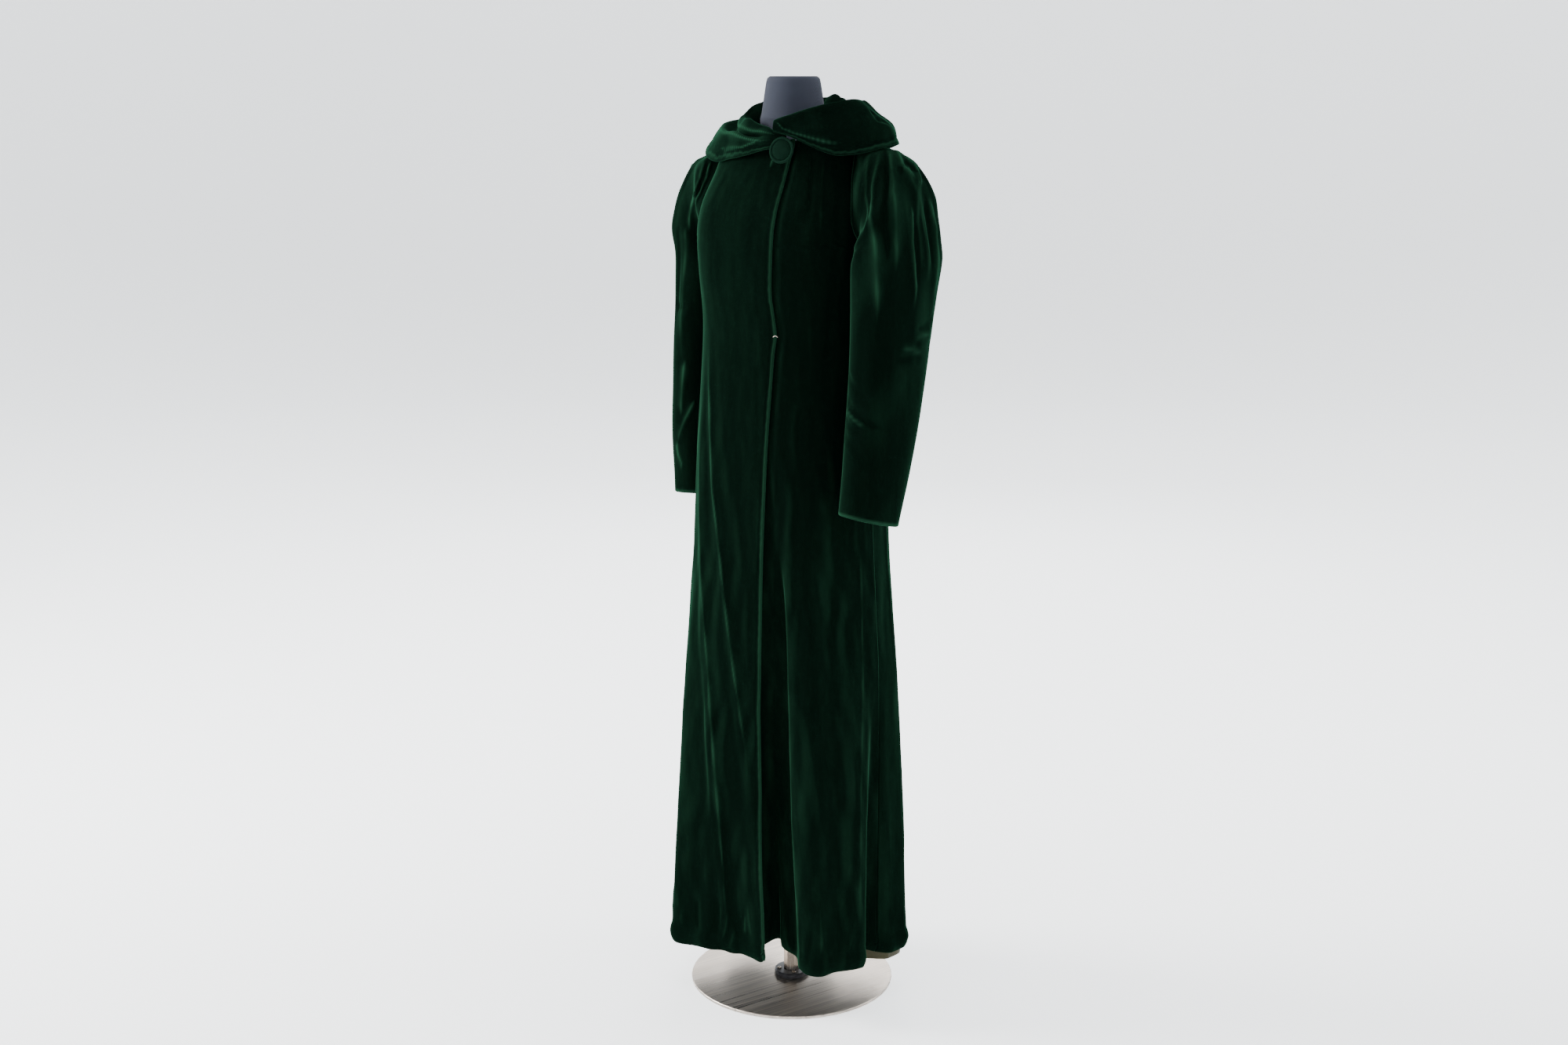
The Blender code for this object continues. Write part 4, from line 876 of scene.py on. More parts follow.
def turned_grid(profile, sides, twist=None):
    """A profile of (radius, height) turned about Z, as rows of closed rings."""
    turns = 2 * math.pi * np.arange(sides) / sides
    radius = np.array([point[0] for point in profile])[:, None]
    height = np.array([point[1] for point in profile])[:, None]
    wide, tall = np.broadcast_arrays(radius, height)
    wide = np.repeat(wide, sides, axis=1)
    tall = np.repeat(tall, sides, axis=1)
    if twist is not None:
        wide, tall = twist(wide, tall, turns[None, :])
    return stack(wide * np.cos(turns), wide * np.sin(turns), tall)


def capped_mesh(name, grid, join_ends=False):
    """Rings of points closed at both ends, or joined end to end into a loop."""
    rows, columns = grid.shape[:2]
    index = np.arange(rows * columns).reshape(rows, columns)
    index = np.concatenate([index, index[:, :1]], axis=1)
    if join_ends:
        index = np.concatenate([index, index[:1]], axis=0)
    corners = (index[:-1, :-1], index[:-1, 1:], index[1:, 1:], index[1:, :-1])
    faces = np.stack([corner.ravel() for corner in corners], axis=1).tolist()
    if not join_ends:
        faces.append(list(range(columns))[::-1])
        faces.append([(rows - 1) * columns + i for i in range(columns)])
    mesh = bpy.data.meshes.new(name)
    mesh.from_pydata(grid.reshape(-1, 3).tolist(), [], faces)
    mesh.shade_smooth()
    mesh.set_sharp_from_angle(angle=math.radians(40))
    return mesh


def button_frame():
    turn, tilt = math.radians(BUTTON_TURN), math.radians(BUTTON_TILT_UP)
    out = Vector((math.sin(turn) * math.cos(tilt), -math.cos(turn) * math.cos(tilt), math.sin(tilt)))
    return Matrix.Translation(BUTTON_CENTRE) @ out.to_track_quat("Z", "Y").to_matrix().to_4x4()


class Number:
    """A number socket that Python's operators can combine. Each adds a Math node."""

    def __init__(self, tree, socket):
        self.tree = tree
        self.socket = socket

    def math(self, operation, *others):
        node = self.tree.nodes.new("ShaderNodeMath")
        node.operation = operation
        for slot, value in zip(node.inputs, others):
            if isinstance(value, Number):
                self.tree.links.new(value.socket, slot)
            else:
                slot.default_value = value
        return Number(self.tree, node.outputs[0])

    def __add__(self, other):
        return self.math("ADD", self, other)

    __radd__ = __add__

    def __mul__(self, other):
        return self.math("MULTIPLY", self, other)

    __rmul__ = __mul__

    def __sub__(self, other):
        return self.math("SUBTRACT", self, other)

    def __rsub__(self, other):
        return self.math("SUBTRACT", other, self)

    def __pow__(self, other):
        return self.math("POWER", self, other)


class Finish:
    """A material's nodes, added one at a time."""

    def __init__(self, name):
        self.material = bpy.data.materials.new(name)
        self.material.use_nodes = True
        self.tree = self.material.node_tree
        self.tree.nodes.clear()

    def add(self, kind, settings=(), values=()):
        """Add a node: its type, its settings, then the values or links of its sockets."""
        node = self.tree.nodes.new(kind)
        for key, setting in dict(settings).items():
            if key == "stops":
                while len(node.color_ramp.elements) < len(setting):
                    node.color_ramp.elements.new(0.5)
                for element, (place, colour) in zip(node.color_ramp.elements, setting):
                    element.position = place
                    element.color = (*colour, 1.0)
            else:
                setattr(node, key, setting)
        for key, value in dict(values).items():
            slot = node.inputs[key]
            if isinstance(value, Number):
                self.tree.links.new(value.socket, slot)
            elif isinstance(value, bpy.types.NodeSocket):
                self.tree.links.new(value, slot)
            else:
                slot.default_value = value
        return node

    def number(self, node, output=0):
        return Number(self.tree, node.outputs[output])

    def place(self):
        return self.add("ShaderNodeTexCoord").outputs["Object"]

    def stretched(self, scale):
        return self.add("ShaderNodeVectorMath", {"operation": "MULTIPLY"},
                        {0: self.place(), 1: scale}).outputs[0]

    def along(self, direction):
        """Distance from the origin along a direction."""
        node = self.add("ShaderNodeVectorMath", {"operation": "DOT_PRODUCT"}, {
            0: self.place(), 1: direction})
        return self.number(node, 1)

    def ramp(self, value, start, end):
        """A soft step from 0 at the start to 1 at the end."""
        node = self.add("ShaderNodeMapRange", {"interpolation_type": "SMOOTHSTEP"}, {
            0: value, 1: start, 2: end})
        return node.outputs[0]

    def noise(self, where, scale, detail=2.0, roughness=0.5):
        return self.number(self.add("ShaderNodeTexNoise", (), {
            "Vector": where, "Scale": scale, "Detail": detail, "Roughness": roughness}))

    def blend(self, factor, first, second):
        """Mix two colours."""
        node = self.add("ShaderNodeMix", {"data_type": "RGBA"}, {0: factor, 6: first, 7: second})
        return node.outputs[2]

    def surface(self, **values):
        shader = self.add("ShaderNodeBsdfPrincipled", (), {
            key.replace("_", " "): value for key, value in values.items()})
        self.add("ShaderNodeOutputMaterial", (), {"Surface": shader.outputs[0]})
        return self.material

    def bump(self, height, strength, distance, normal=None):
        values = {"Height": height, "Strength": strength, "Distance": distance}
        if normal is not None:
            values["Normal"] = normal
        return self.add("ShaderNodeBump", (), values).outputs[0]


def colour(value):
    return (*value, 1.0)


def velvet_finish(name, painted_lightening=1.0):
    """Silk velvet: almost black face on, with a green sheen painted into its colour where the surface
    turns away from the camera and along crease ridges, and random lighter tone in the pile.
    """
    looks = bpy.context.scene.coat_colours
    finish = Finish(name)
    where = finish.place()
    ridge = finish.number(finish.add("ShaderNodeAttribute", {"attribute_name": "ridge_light"}), 2)
    ridge_up = finish.add("ShaderNodeClamp", (), {0: ridge}).outputs[0]
    broad = finish.noise(finish.stretched((1.0, 1.0, 0.14)), 11.0, 2.0, 0.5)
    brushed = finish.noise(finish.stretched((1.0, 1.0, 0.25)), 70.0, 3.0, 0.6)
    pile = finish.noise(where, 1400.0, 2.0, 0.7)
    # Painted sheen: the Layer Weight facing value and the ridge_light attribute lighten the base colour
    # towards the sheen colour at grazing edges and on crease ridges; the broad, brushed and pile noise
    # add random tone.
    edge = finish.number(finish.add("ShaderNodeLayerWeight", (), {"Blend": 0.28}), 1)
    painted_sheen_and_tone = edge ** 2.8 * 0.62 + (broad - 0.5) * 0.11 + (brushed - 0.5) * 0.07
    painted_sheen_and_tone = painted_sheen_and_tone + Number(finish.tree, ridge_up) * 0.40 + (pile - 0.5) * 0.10
    # The face colour is scaled by the second argument; above 1 this paints a copy of the velvet lighter,
    # as painted light.
    face = tuple(channel * painted_lightening for channel in looks.velvet)
    tone = finish.add("ShaderNodeClamp", (), {0: painted_sheen_and_tone}).outputs[0]
    base = finish.blend(tone, colour(face), colour(looks.velvet_sheen_and_tone))
    rough = 0.78 + (brushed - 0.5) * 0.25
    crushed = finish.noise(finish.stretched((1.0, 1.0, 0.3)), 160.0, 3.0, 0.6)
    normal = finish.bump(crushed.socket, 0.25, 0.0012)
    normal = finish.bump(pile.socket, 0.35, 0.0003, normal)
    return finish.surface(
        Base_Color=base, Roughness=rough, Normal=normal,
        Sheen_Weight=looks.sheen, Sheen_Roughness=looks.sheen_roughness,
        Sheen_Tint=colour(looks.sheen_tint), Specular_IOR_Level=0.0,
    )


def coat_velvet():
    """The velvet that the whole coat is cut from, made once."""
    name = "green silk velvet"
    return bpy.data.materials.get(name) or velvet_finish(name)


def lining_finish():
    """Olive lining silk with a fine twill."""
    looks = bpy.context.scene.coat_colours
    finish = Finish("olive lining silk")
    weave = finish.number(finish.add("ShaderNodeTexWave", {"bands_direction": "DIAGONAL"}, {
        "Vector": finish.place(), "Scale": 900.0, "Distortion": 0.6}), 1)
    blotch = finish.noise(finish.place(), 30.0, 3.0)
    dark = tuple(channel * 0.55 for channel in looks.lining)
    base = finish.blend(blotch, colour(dark), colour(looks.lining))
    return finish.surface(
        Base_Color=base, Roughness=0.42 + (blotch - 0.5) * 0.2,
        Normal=finish.bump(weave.socket, 0.3, 0.0002), Specular_IOR_Level=0.12,
    )


def form_cloth_finish():
    """Slate cover cloth of the dress form, a plain close weave."""
    looks = bpy.context.scene.coat_colours
    finish = Finish("slate cover cloth")
    across = finish.number(finish.add("ShaderNodeTexWave", {"bands_direction": "Z"}, {
        "Vector": finish.place(), "Scale": 420.0, "Distortion": 1.5, "Detail Scale": 2.0}), 1)
    down = finish.number(finish.add("ShaderNodeTexWave", {"bands_direction": "X"}, {
        "Vector": finish.place(), "Scale": 420.0, "Distortion": 1.5, "Detail Scale": 2.0}), 1)
    blotch = finish.noise(finish.place(), 24.0, 4.0)
    weave = across * down
    light = tuple(min(channel * 1.5, 1.0) for channel in looks.form_cloth)
    base = finish.blend(blotch * 0.6 + weave * 0.4, colour(looks.form_cloth), colour(light))
    return finish.surface(
        Base_Color=base, Roughness=0.86 + (blotch - 0.5) * 0.12,
        Normal=finish.bump(weave.socket, 0.35, 0.0003), Specular_IOR_Level=0.2,
    )


def brushed_steel_finish(name, lean, roughness, scale=1.0):
    """Steel with long brush lines along one direction."""
    looks = bpy.context.scene.coat_colours
    finish = Finish(name)
    turned = finish.add("ShaderNodeMapping", {"vector_type": "TEXTURE"}, {
        "Vector": finish.place(), "Rotation": (0.0, 0.0, math.radians(lean)),
        "Scale": (14.0 / scale, 0.14 / scale, 0.14 / scale)}).outputs[0]
    lines = finish.noise(turned, 120.0, 4.0, 0.65)
    streaks = finish.noise(turned, 26.0, 3.0, 0.6)
    broad = finish.noise(finish.place(), 14.0, 3.0)
    dark = tuple(channel * 0.42 for channel in looks.steel)
    tone = (streaks - 0.5) * 2.6 + (lines - 0.5) * 1.2 + 0.55
    mixed = finish.add("ShaderNodeClamp", (), {0: tone}).outputs[0]
    base = finish.blend(mixed, colour(dark), colour(looks.steel))
    rough = roughness + (streaks - 0.5) * 0.50 + (lines - 0.5) * 0.20 + (broad - 0.5) * 0.12
    return finish.surface(
        Base_Color=base, Metallic=1.0, Roughness=rough,
        Normal=finish.bump(lines.socket, 0.12, 0.0002), Anisotropic=0.5,
    )


def pole_steel_finish():
    """Drawn steel with fine scratches along the pole."""
    looks = bpy.context.scene.coat_colours
    made = bpy.data.materials.get("drawn steel")
    if made:
        return made
    finish = Finish("drawn steel")
    lines = finish.noise(finish.stretched((60.0, 60.0, 0.6)), 40.0, 3.0, 0.6)
    smears = finish.noise(finish.stretched((1.0, 1.0, 0.2)), 40.0, 3.0)
    dark = tuple(channel * 0.7 for channel in looks.steel)
    base = finish.blend(lines, colour(dark), colour(looks.steel))
    return finish.surface(
        Base_Color=base, Metallic=1.0, Roughness=0.22 + (smears - 0.5) * 0.25 + (lines - 0.5) * 0.1,
        Normal=finish.bump(lines.socket, 0.08, 0.0002),
    )


def dark_metal_finish():
    """Dark satin finish of the flange, worn a little lighter in patches."""
    looks = bpy.context.scene.coat_colours
    finish = Finish("dark satin metal")
    wear = finish.noise(finish.place(), 90.0, 5.0, 0.65)
    light = tuple(channel * 2.2 for channel in looks.flange)
    base = finish.blend(wear ** 2.0, colour(looks.flange), colour(light))
    return finish.surface(
        Base_Color=base, Metallic=0.7, Roughness=0.38 + (wear - 0.5) * 0.3,
        Normal=finish.bump(wear.socket, 0.1, 0.0003),
    )


def floor_finish():
    looks = bpy.context.scene.coat_stage
    finish = Finish("pale studio floor")
    grain = finish.noise(finish.place(), 3.0, 2.0)
    shade = tuple(channel * 0.985 for channel in looks.floor)
    base = finish.blend(grain, colour(shade), colour(looks.floor))
    # Painted glow: the floor and its wall give off light of their own, full behind the coat, dimmer on
    # the camera's side and dimmer far up the wall.
    behind_coat = finish.ramp(finish.along(TOWARDS_WALL), -3.0, 1.4)
    far = finish.ramp(finish.along((*TOWARDS_WALL[:2], 1.2)), 3.0, 9.0)
    camera_side_glow = tuple(channel * 0.16 for channel in looks.backdrop)
    wall = tuple(channel * 0.42 for channel in looks.backdrop)
    near = finish.blend(behind_coat, colour(camera_side_glow), colour(looks.backdrop))
    glow = finish.blend(far, near, colour(wall))
    return finish.surface(
        Base_Color=base, Roughness=0.9, Specular_IOR_Level=0.1,
        Emission_Color=glow, Emission_Strength=looks.floor_glow,
    )


class CoatCloth(bpy.types.PropertyGroup):
    """Sizes of the cloth and its trims."""

    wall: bpy.props.FloatProperty(
        name="Velvet", description="Thickness of the velvet with its lining",
        default=WALL, min=0.001, max=0.004, unit="LENGTH", precision=4)
    hem_radius: bpy.props.FloatProperty(
        name="Hem Roll", description="Radius of the turned-up hem",
        default=0.0032, min=0.001, max=0.006, unit="LENGTH", precision=4)
    edge_radius: bpy.props.FloatProperty(
        name="Edge Roll", description="Radius of the turned front edge, cuffs and collar",
        default=0.0024, min=0.001, max=0.004, unit="LENGTH", precision=4)
    button_radius: bpy.props.FloatProperty(
        name="Button", description="Radius of the covered button",
        default=BUTTON_RADIUS, min=0.010, max=0.025, unit="LENGTH", precision=4)


class CoatColours(bpy.types.PropertyGroup):
    """Colours of the coat, the form and the stand."""

    velvet: bpy.props.FloatVectorProperty(
        name="Velvet", description="Colour of the pile seen face on",
        subtype="COLOR", size=3, min=0.0, max=1.0, default=(0.0013, 0.0042, 0.0026))
    # The colour that the painted sheen lightens the velvet towards, at grazing edges and on crease
    # ridges; the random tone leans towards it too.
    velvet_sheen_and_tone: bpy.props.FloatVectorProperty(
        name="Bloom", description="Colour of the pile where it turns away",
        subtype="COLOR", size=3, min=0.0, max=1.0, default=(0.020, 0.082, 0.043))
    sheen: bpy.props.FloatProperty(
        name="Sheen", description="Strength of the velvet's sheen",
        subtype="FACTOR", min=0.0, max=1.0, default=0.17)
    sheen_roughness: bpy.props.FloatProperty(
        name="Sheen Spread", description="How far the sheen spreads from the edges",
        subtype="FACTOR", min=0.0, max=1.0, default=0.22)
    sheen_tint: bpy.props.FloatVectorProperty(
        name="Sheen Tint", description="Colour of the velvet's sheen",
        subtype="COLOR", size=3, min=0.0, max=1.0, default=(0.09, 0.34, 0.20))
    lining: bpy.props.FloatVectorProperty(
        name="Lining", description="Colour of the lining strip",
        subtype="COLOR", size=3, min=0.0, max=1.0, default=(0.040, 0.037, 0.016))
    form_cloth: bpy.props.FloatVectorProperty(
        name="Form", description="Colour of the dress form's cover cloth",
        subtype="COLOR", size=3, min=0.0, max=1.0, default=(0.020, 0.023, 0.034))
    steel: bpy.props.FloatVectorProperty(
        name="Steel", description="Colour of the pole and the base plate",
        subtype="COLOR", size=3, min=0.0, max=1.0, default=(0.52, 0.46, 0.40))
    flange: bpy.props.FloatVectorProperty(
        name="Flange", description="Colour of the flange",
        subtype="COLOR", size=3, min=0.0, max=1.0, default=(0.035, 0.036, 0.040))


class CoatStage(bpy.types.PropertyGroup):
    """The floor, the lights and the camera's place."""

    floor: bpy.props.FloatVectorProperty(
        name="Floor", description="Colour of the floor",
        subtype="COLOR", size=3, min=0.0, max=1.0, default=(0.86, 0.87, 0.88))
    floor_glow: bpy.props.FloatProperty(
        name="Floor Glow", description="Light that the floor and its wall give off by themselves",
        min=0.0, max=4.0, default=1.90)
    backdrop: bpy.props.FloatVectorProperty(
        name="Backdrop", description="Colour of the light all round",
        subtype="COLOR", size=3, min=0.0, max=1.0, default=(0.90, 0.93, 0.95))
    backdrop_light: bpy.props.FloatProperty(
        name="Backdrop Light", description="Strength of the light all round",
        min=0.0, max=5.0, default=0.70)
    camera_turn: bpy.props.FloatProperty(
        name="Camera Turn", description="Angle of the camera from the coat's front",
        subtype="ANGLE", unit="ROTATION", default=math.radians(35.0))
    camera_distance: bpy.props.FloatProperty(
        name="Camera Distance", description="Level distance of the camera from the pole",
        unit="LENGTH", default=3.369)


class COAT_OT_stage(bpy.types.Operator):
    """Make the floor, the lights and the camera"""

    bl_idname = "coat.stage"
    bl_label = "Stage"

    def execute(self, context):
        stage = context.scene.coat_stage
        self.floor()
        self.backdrop(context.scene, stage)
        for row in STUDIO_LIGHTS:
            self.light(context.scene, *row)
        self.camera(context.scene, stage)
        return {"FINISHED"}

    def floor(self):
        """A round floor that sweeps up into a wall, open above."""
        profile = [(radius, FLOOR_LEVEL) for radius in (0.001, 1.0, 2.0, 3.5, 5.0, FLOOR_RADIUS)]
        for step in range(1, 19):
            turn = math.pi / 2 * step / 18
            rise = SWEEP_RADIUS - SWEEP_RADIUS * math.cos(turn)
            profile.append((FLOOR_RADIUS + SWEEP_RADIUS * math.sin(turn), rise + FLOOR_LEVEL))
        wall = FLOOR_RADIUS + SWEEP_RADIUS
        profile += [(wall, 0.75 * STUDIO_WALL_TOP), (wall, STUDIO_WALL_TOP)]
        grid = turned_grid(profile, 128)
        mesh = sheet_mesh("studio_floor", grid, np.zeros(grid.shape[:2]), True)
        mesh.materials.append(floor_finish())
        floor = bpy.data.objects.new("studio_floor", mesh)
        bpy.context.scene.collection.objects.link(floor)

    def backdrop(self, scene, stage):
        world = bpy.data.worlds.new("pale studio")
        world.use_nodes = True
        shade = world.node_tree.nodes["Background"]
        shade.inputs["Color"].default_value = colour(stage.backdrop)
        shade.inputs["Strength"].default_value = stage.backdrop_light
        scene.world = world

    def light(self, scene, name, place, size, energy, tint):
        lamp = bpy.data.lights.new(name, "AREA")
        lamp.shape = "DISK"
        lamp.size = size
        lamp.energy = energy
        lamp.color = tint
        light = bpy.data.objects.new(name, lamp)
        light.location = place
        aim = Vector((0.0, 0.0, 0.9)) - light.location
        light.rotation_euler = aim.to_track_quat("-Z", "Y").to_euler()
        scene.collection.objects.link(light)

    def camera(self, scene, stage):
        lens = bpy.data.cameras.new("camera")
        lens.lens = LENS
        lens.sensor_width = SENSOR
        camera = bpy.data.objects.new("camera", lens)
        turn, away = stage.camera_turn, stage.camera_distance
        camera.location = (away * math.sin(turn), -away * math.cos(turn), CAMERA_HEIGHT)
        tip, aside = math.radians(90.0 - CAMERA_DOWN), math.radians(CAMERA_ASIDE)
        camera.rotation_euler = (tip, 0.0, turn + aside)
        scene.collection.objects.link(camera)
        scene.camera = camera


class COAT_OT_fronts(bpy.types.Operator):
    """Make the upper and the under front"""

    bl_idname = "coat.fronts"
    bl_label = "Fronts"

    def execute(self, context):
        wall = context.scene.coat_cloth.wall
        velvet = coat_velvet()
        heights = np.linspace(0.10, 1.43, 56)
        inside = upper_edge(heights) - 2.0 - 0.35 * np.sin(61.0 * heights)
        inside = inside - 0.2 * np.sin(143.0 * heights)
        stitched = (-0.0012, 0.0022, 0.35, tuple(zip(inside, heights)))
        creases = FRONT_RIGHT_CREASES + (stitched,) + hem_crinkles(-80.0, 12.0, 16, 5)
        grid, shine = panel_sheet(right_front_side, upper_edge, 172, 142, creases, 11, corner=True)
        # Painted highlight along the upper front's open edge, of uneven width.
        reach = np.linalg.norm(grid - grid[:, -1:], axis=-1)
        ragged = 0.0020 + 0.0010 * np.sin(173.0 * grid[..., 2]) ** 2
        shine = shine + 0.65 * np.exp(-((reach / ragged) ** 2))
        grid, shine = hem_turned(grid, shine)
        grid, shine = edge_turned(grid, shine)
        right = new_cloth("velvet_front_right", grid, shine, wall, velvet)
        creases = FRONT_LEFT_CREASES + hem_crinkles(24.0, 84.0, 11, 6)
        grid, shine = panel_sheet(under_edge, left_front_side, 180, 140, creases, 12, True)
        grid, shine = hem_turned(grid, shine)
        left = new_cloth("velvet_front_left", grid, shine, wall, velvet)
        for piece, node, area in ((right, "front_right", 0.44), (left, "front_left", 0.45)):
            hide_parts(node)
        return {"FINISHED"}


class COAT_OT_back(bpy.types.Operator):
    """Make the back, cut in one"""

    bl_idname = "coat.back"
    bl_label = "Back"

    def execute(self, context):
        velvet = coat_velvet()
        creases = BACK_CREASES + hem_crinkles(96.0, 264.0, 22, 7)
        grid, shine = panel_sheet(left_back_side, right_back_side, 226, 140, creases, 13)
        grid, shine = seam_allowance(*hem_turned(grid, shine))
        back = new_cloth("velvet_back", grid, shine, context.scene.coat_cloth.wall, velvet)
        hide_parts("back")
        return {"FINISHED"}


class COAT_OT_sleeves(bpy.types.Operator):
    """Make the two gathered sleeves"""

    bl_idname = "coat.sleeves"
    bl_label = "Sleeves"

    def execute(self, context):
        sizes = context.scene.coat_cloth
        velvet = coat_velvet()
        outer_right = LEFT_SLEEVE_CREASES[3:13]
        for name, side, head, hang, seed, creases in (
            ("left", 1.0, LEFT_SLEEVE_HEAD, LEFT_SLEEVE_HANG, 21, LEFT_SLEEVE_CREASES),
            ("right", -1.0, RIGHT_SLEEVE_HEAD, RIGHT_SLEEVE_HANG, 22, RIGHT_SLEEVE_CREASES + outer_right),
        ):
            creases = creases + behind(LEFT_SLEEVE_CREASES)
            grid, shine = sleeve_sheet(side, head, hang, 225, 158, seed, creases)
            if side > 0:
                grid, shine = grid[:, ::-1], shine[:, ::-1]
            grid, shine = turned_edge(
                grid[:, ::-1], shine[:, ::-1], sizes.edge_radius, CUFF_TURNING, True)
            grid, shine = grid[:, ::-1], shine[:, ::-1]
            grid, shine = grid[::-1], shine[::-1]
            sleeve = new_cloth(f"velvet_sleeve_{name}", grid, shine, sizes.wall, velvet, closed=True)
            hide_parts(f"sleeve_{name}")
        return {"FINISHED"}


class COAT_OT_collar(bpy.types.Operator):
    """Make the soft draped collar in its two halves"""

    bl_idname = "coat.collar"
    bl_label = "Collar"

    def execute(self, context):
        sizes = context.scene.coat_cloth
        velvet = coat_velvet()
        left = list(COLLAR_LEFT)
        left[-1] = (180.0 - COLLAR_HALF_GAP_DEGREES, *left[-1][1:])
        right = list(COLLAR_RIGHT)
        right[0] = (-180.0 + COLLAR_HALF_GAP_DEGREES, *right[0][1:])
        for name, rows, seed, count, creases in (
            ("left", left, 31, 235, COLLAR_LEFT_CREASES),
            ("right", right, 32, 270, COLLAR_RIGHT_CREASES),
        ):
            grid, shine = collar_sheet(rows, count, 78, seed, creases)
            grid, shine = turned_edge(
                grid[:, ::-1], shine[:, ::-1], COLLAR_EDGE_RADIUS, COLLAR_TURNING)
            collar = new_cloth(f"velvet_collar_{name}", grid, shine, COLLAR_WALL, velvet)
            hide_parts(f"collar_{name}")
        return {"FINISHED"}


class COAT_OT_button(bpy.types.Operator):
    """Make the covered button and its corded rim"""

    bl_idname = "coat.button"
    bl_label = "Button"

    def execute(self, context):
        # A copy of the velvet with its face colour painted 2.6 times lighter, as painted light on the
        # button.
        velvet = velvet_finish("button velvet painted lighter", 2.6)
        radius = context.scene.coat_cloth.button_radius
        profile = [(0.0004, 0.0), (radius - 0.0010, 0.0), (radius, 0.0008)]
        for step in range(17):
            lean = math.radians(90.0 - 90.0 * step / 16)
            rise = BUTTON_THICKNESS - BUTTON_DOME * (1.0 - math.cos(lean))
            profile.append((max(radius * math.sin(lean), 0.0004), rise))
        button_mesh = capped_mesh("covered_button", turned_grid(profile, 72))
        button = new_piece("covered_button", button_mesh, velvet)
        centre = radius + TOUCH + RIM_CORD_RADIUS
        ring = []
        for step in range(20):
            lean = math.radians(360.0 * step / 20)
            out, up = RIM_CORD_RADIUS * math.cos(lean), RIM_CORD_RADIUS * math.sin(lean)
            ring.append((centre + out, RIM_HEIGHT + up))

        def twist(wide, tall, turns):
            lean = np.arctan2(tall - RIM_HEIGHT, wide - centre)
            swell = 1.0 + 0.10 * np.cos(RIM_STRANDS * turns + 2 * lean)
            return centre + (wide - centre) * swell, RIM_HEIGHT + (tall - RIM_HEIGHT) * swell

        # The cord's copy is painted 4 times lighter, as painted light on the rim.
        cord = velvet_finish("cord velvet painted lighter", 4.0)
        rim_mesh = capped_mesh("corded_rim", turned_grid(ring, 352, twist), True)
        rim = new_piece("corded_rim", rim_mesh, cord)
        for piece, node in ((button, "button"), (rim, "button_rim")):
            piece.data.transform(button_frame())
            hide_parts(node)
        return {"FINISHED"}


class COAT_OT_hook(bpy.types.Operator):
    """Make the small wire hook at the waist"""

    bl_idname = "coat.hook"
    bl_label = "Waist Hook"

    def execute(self, context):
        steel = pole_steel_finish()
        edge_x = float(lerp_rows(FRONT_EDGE, HOOK_HEIGHT)[0])
        edge = float(angle_at_x(edge_x, np.array(HOOK_HEIGHT)))
        reach = np.linalg.norm(body_point(np.array(edge), np.array(HOOK_HEIGHT))[:2])
        along = math.degrees(HOOK_LENGTH / reach)
        share = np.linspace(0.0, 1.0, 24)
        rise = HOOK_BOW * np.sin(math.pi * share) ** 2
        out = HOOK_WIRE + TOUCH + HOOK_STAND_OFF * (0.2 + share)
        route = body_point(edge + 2.4 - along * (1.0 - share), HOOK_HEIGHT + rise, -out)
        wire = bpy.data.curves.new("hook_wire", "CURVE")
        wire.dimensions = "3D"
        wire.bevel_depth = HOOK_WIRE
        wire.bevel_resolution = 4
        wire.use_fill_caps = True
        spline = wire.splines.new("POLY")
        spline.points.add(len(route) - 1)
        for target, point in zip(spline.points, route):
            target.co = (*point, 1.0)
        hook = new_piece("hook_wire", wire, steel)
        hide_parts("waist_hook")
        return {"FINISHED"}


class COAT_OT_lining(bpy.types.Operator):
    """Make the strip of lining that shows under the hem"""

    bl_idname = "coat.lining"
    bl_label = "Hem Lining"

    def execute(self, context):
        degrees = np.linspace(*LINING_ANGLES, 70)[None, :]
        rows = np.linspace(0.0, HEM_ROLL_HEIGHT, 16)[:, None]
        lift = hem_height(degrees, False) - HEM
        heights = HEM + rows + lift
        inset = np.full(heights.shape, 2 * context.scene.coat_cloth.hem_radius + 0.0009)
        grid = body_point(degrees, heights, inset)
        drop = np.repeat(grid[:1], 6, axis=0)
        share = np.linspace(0.0, 1.0, 7)[:6, None]
        drop[:, :, 2] = share * (grid[0, :, 2] - LINING_BOTTOM) + LINING_BOTTOM
        grid = np.concatenate([drop, grid])
        shine = np.zeros(grid.shape[:2])
        strip = new_cloth("lining_strip", grid, shine, LINING_WALL, lining_finish())
        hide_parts("hem_lining")
        return {"FINISHED"}


class COAT_OT_dress_form(bpy.types.Operator):
    """Make the limbless form with its neck block"""

    bl_idname = "coat.dress_form"
    bl_label = "Dress Form"

    def execute(self, context):
        heights = np.unique(np.concatenate([
            np.linspace(0.800, 0.812, 4), np.linspace(0.812, 1.43, 70), np.linspace(1.43, 1.506, 14)]))
        turns = np.arange(160) * 360.0 / 160
        degrees, tall = np.meshgrid(turns, heights)
        inset = lerp_rows(FORM_INSETS, tall)[0]
        inset = inset + FORM_FRONT_EXTRA * np.maximum(0.0, np.cos(np.radians(degrees))) ** 0.6
        grid = body_point(degrees, tall, inset, folded=False)
        low = tall < FORM_SLOPE_HEIGHT
        grid[..., 2] = np.where(low, tall, grid[..., 2])
        top = np.array([row[0] for row in NECK_SECTIONS])
        fine = np.unique(np.concatenate([np.linspace(top[0], top[-1], 28), top]))
        radius = smooth_rows(NECK_SECTIONS, fine)
        wide = np.radians(turns)[None, :]
        neck = stack(radius * np.sin(wide), NECK_CENTRE_Y - radius * np.cos(wide), fine[:, None])
        grid = np.concatenate([grid, neck])
        torso = new_piece("padded_form", capped_mesh("padded_form", grid), form_cloth_finish())
        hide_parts("form_torso")
        return {"FINISHED"}


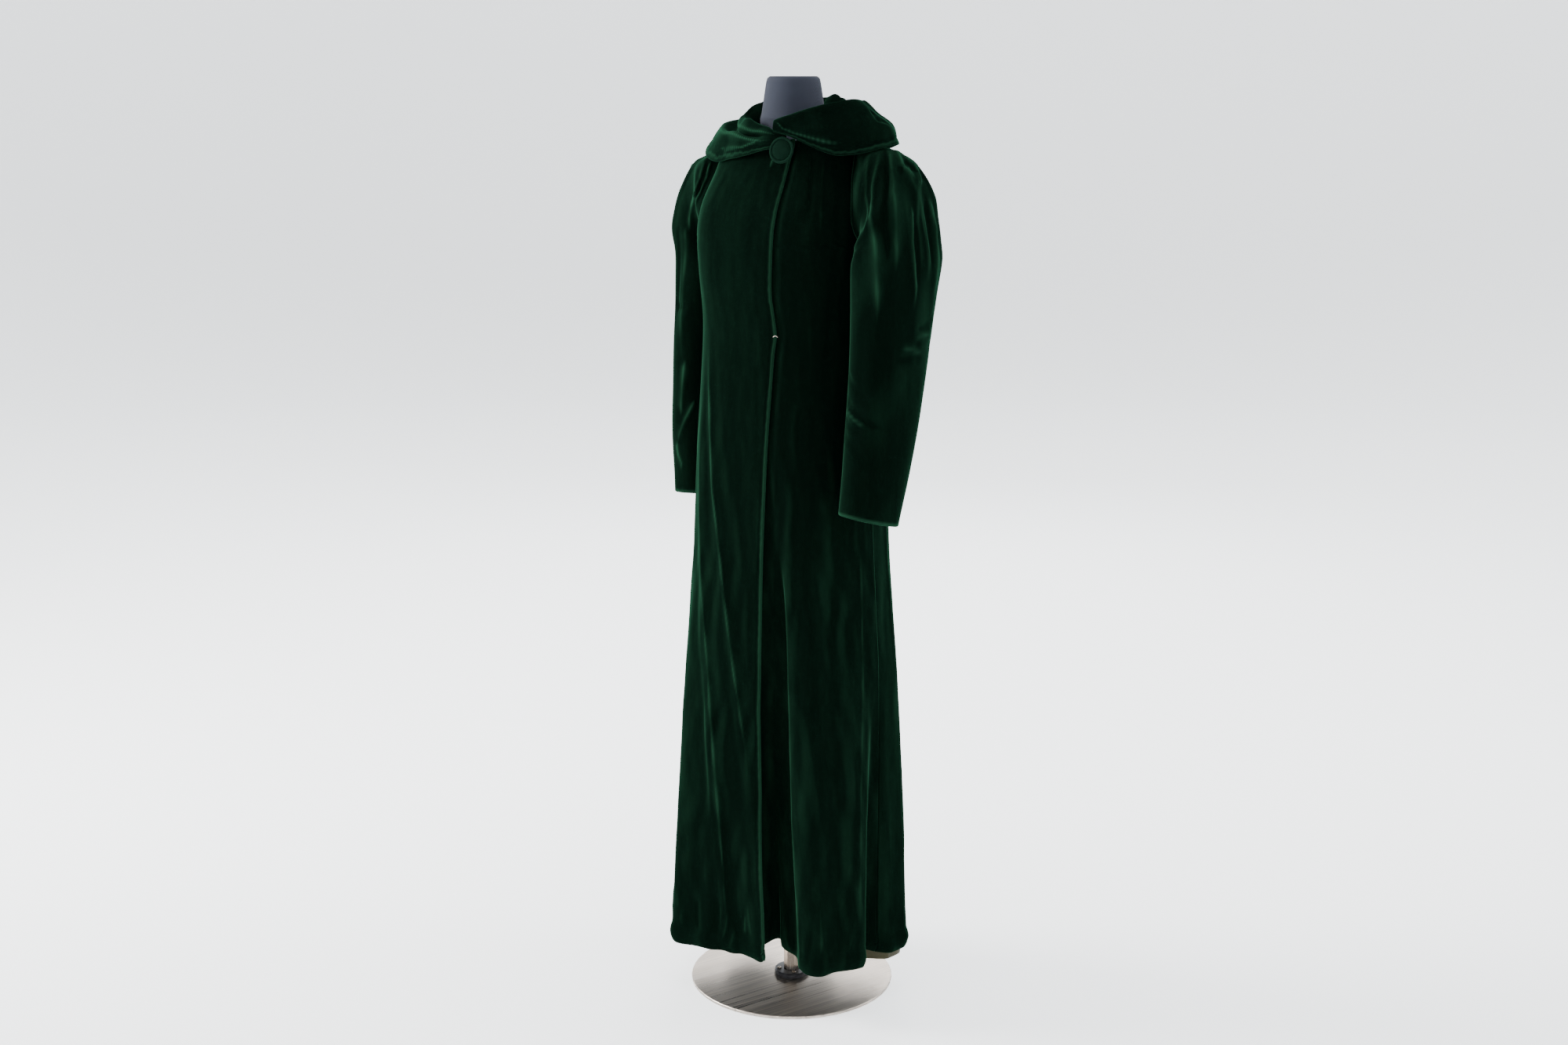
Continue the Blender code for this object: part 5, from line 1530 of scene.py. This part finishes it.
class COAT_OT_stand(bpy.types.Operator):
    """Give the pole, flange, screws and base plate their finishes"""

    bl_idname = "coat.stand"
    bl_label = "Stand"

    def execute(self, context):
        pole = pole_steel_finish()
        plate = brushed_steel_finish("brushed steel plate", 70.0, 0.36)
        screw = brushed_steel_finish("bright screw steel", 0.0, 0.18, 20.0)
        dark = dark_metal_finish()
        finishes = {"stand_pole": pole, "stand_base": plate, "stand_flange": dark}
        finishes.update({f"screw_{index}": screw for index in range(1, 5)})
        for node, finish in finishes.items():
            bpy.data.objects[node].data.materials.clear()
            bpy.data.objects[node].data.materials.append(finish)
        return {"FINISHED"}


class COAT_PT_panel(bpy.types.Panel):
    """The coat's settings and its steps, in the order that they run"""

    bl_idname = "COAT_PT_panel"
    bl_label = "Velvet Coat"
    bl_space_type = "VIEW_3D"
    bl_region_type = "UI"
    bl_category = "Velvet Coat"

    def draw(self, context):
        for group in (context.scene.coat_cloth, context.scene.coat_colours, context.scene.coat_stage):
            for key in group.__annotations__:
                self.layout.prop(group, key)
        for step in OPERATORS:
            self.layout.operator(step.bl_idname)


OPERATORS = (
    COAT_OT_stage, COAT_OT_fronts, COAT_OT_back, COAT_OT_sleeves, COAT_OT_collar, COAT_OT_button,
    COAT_OT_hook, COAT_OT_lining, COAT_OT_dress_form, COAT_OT_stand,
)
GROUPS = (CoatCloth, CoatColours, CoatStage)


def register():
    for item in (*GROUPS, *OPERATORS, COAT_PT_panel):
        bpy.utils.register_class(item)
    bpy.types.Scene.coat_cloth = bpy.props.PointerProperty(type=CoatCloth)
    bpy.types.Scene.coat_colours = bpy.props.PointerProperty(type=CoatColours)
    bpy.types.Scene.coat_stage = bpy.props.PointerProperty(type=CoatStage)


def unregister():
    del bpy.types.Scene.coat_cloth
    del bpy.types.Scene.coat_colours
    del bpy.types.Scene.coat_stage
    for item in (COAT_PT_panel, *reversed(OPERATORS), *reversed(GROUPS)):
        bpy.utils.unregister_class(item)


def main():
    register()
    for step in OPERATORS:
        group, name = step.bl_idname.split(".")
        getattr(getattr(bpy.ops, group), name)()


if __name__ == "__main__":
    main()
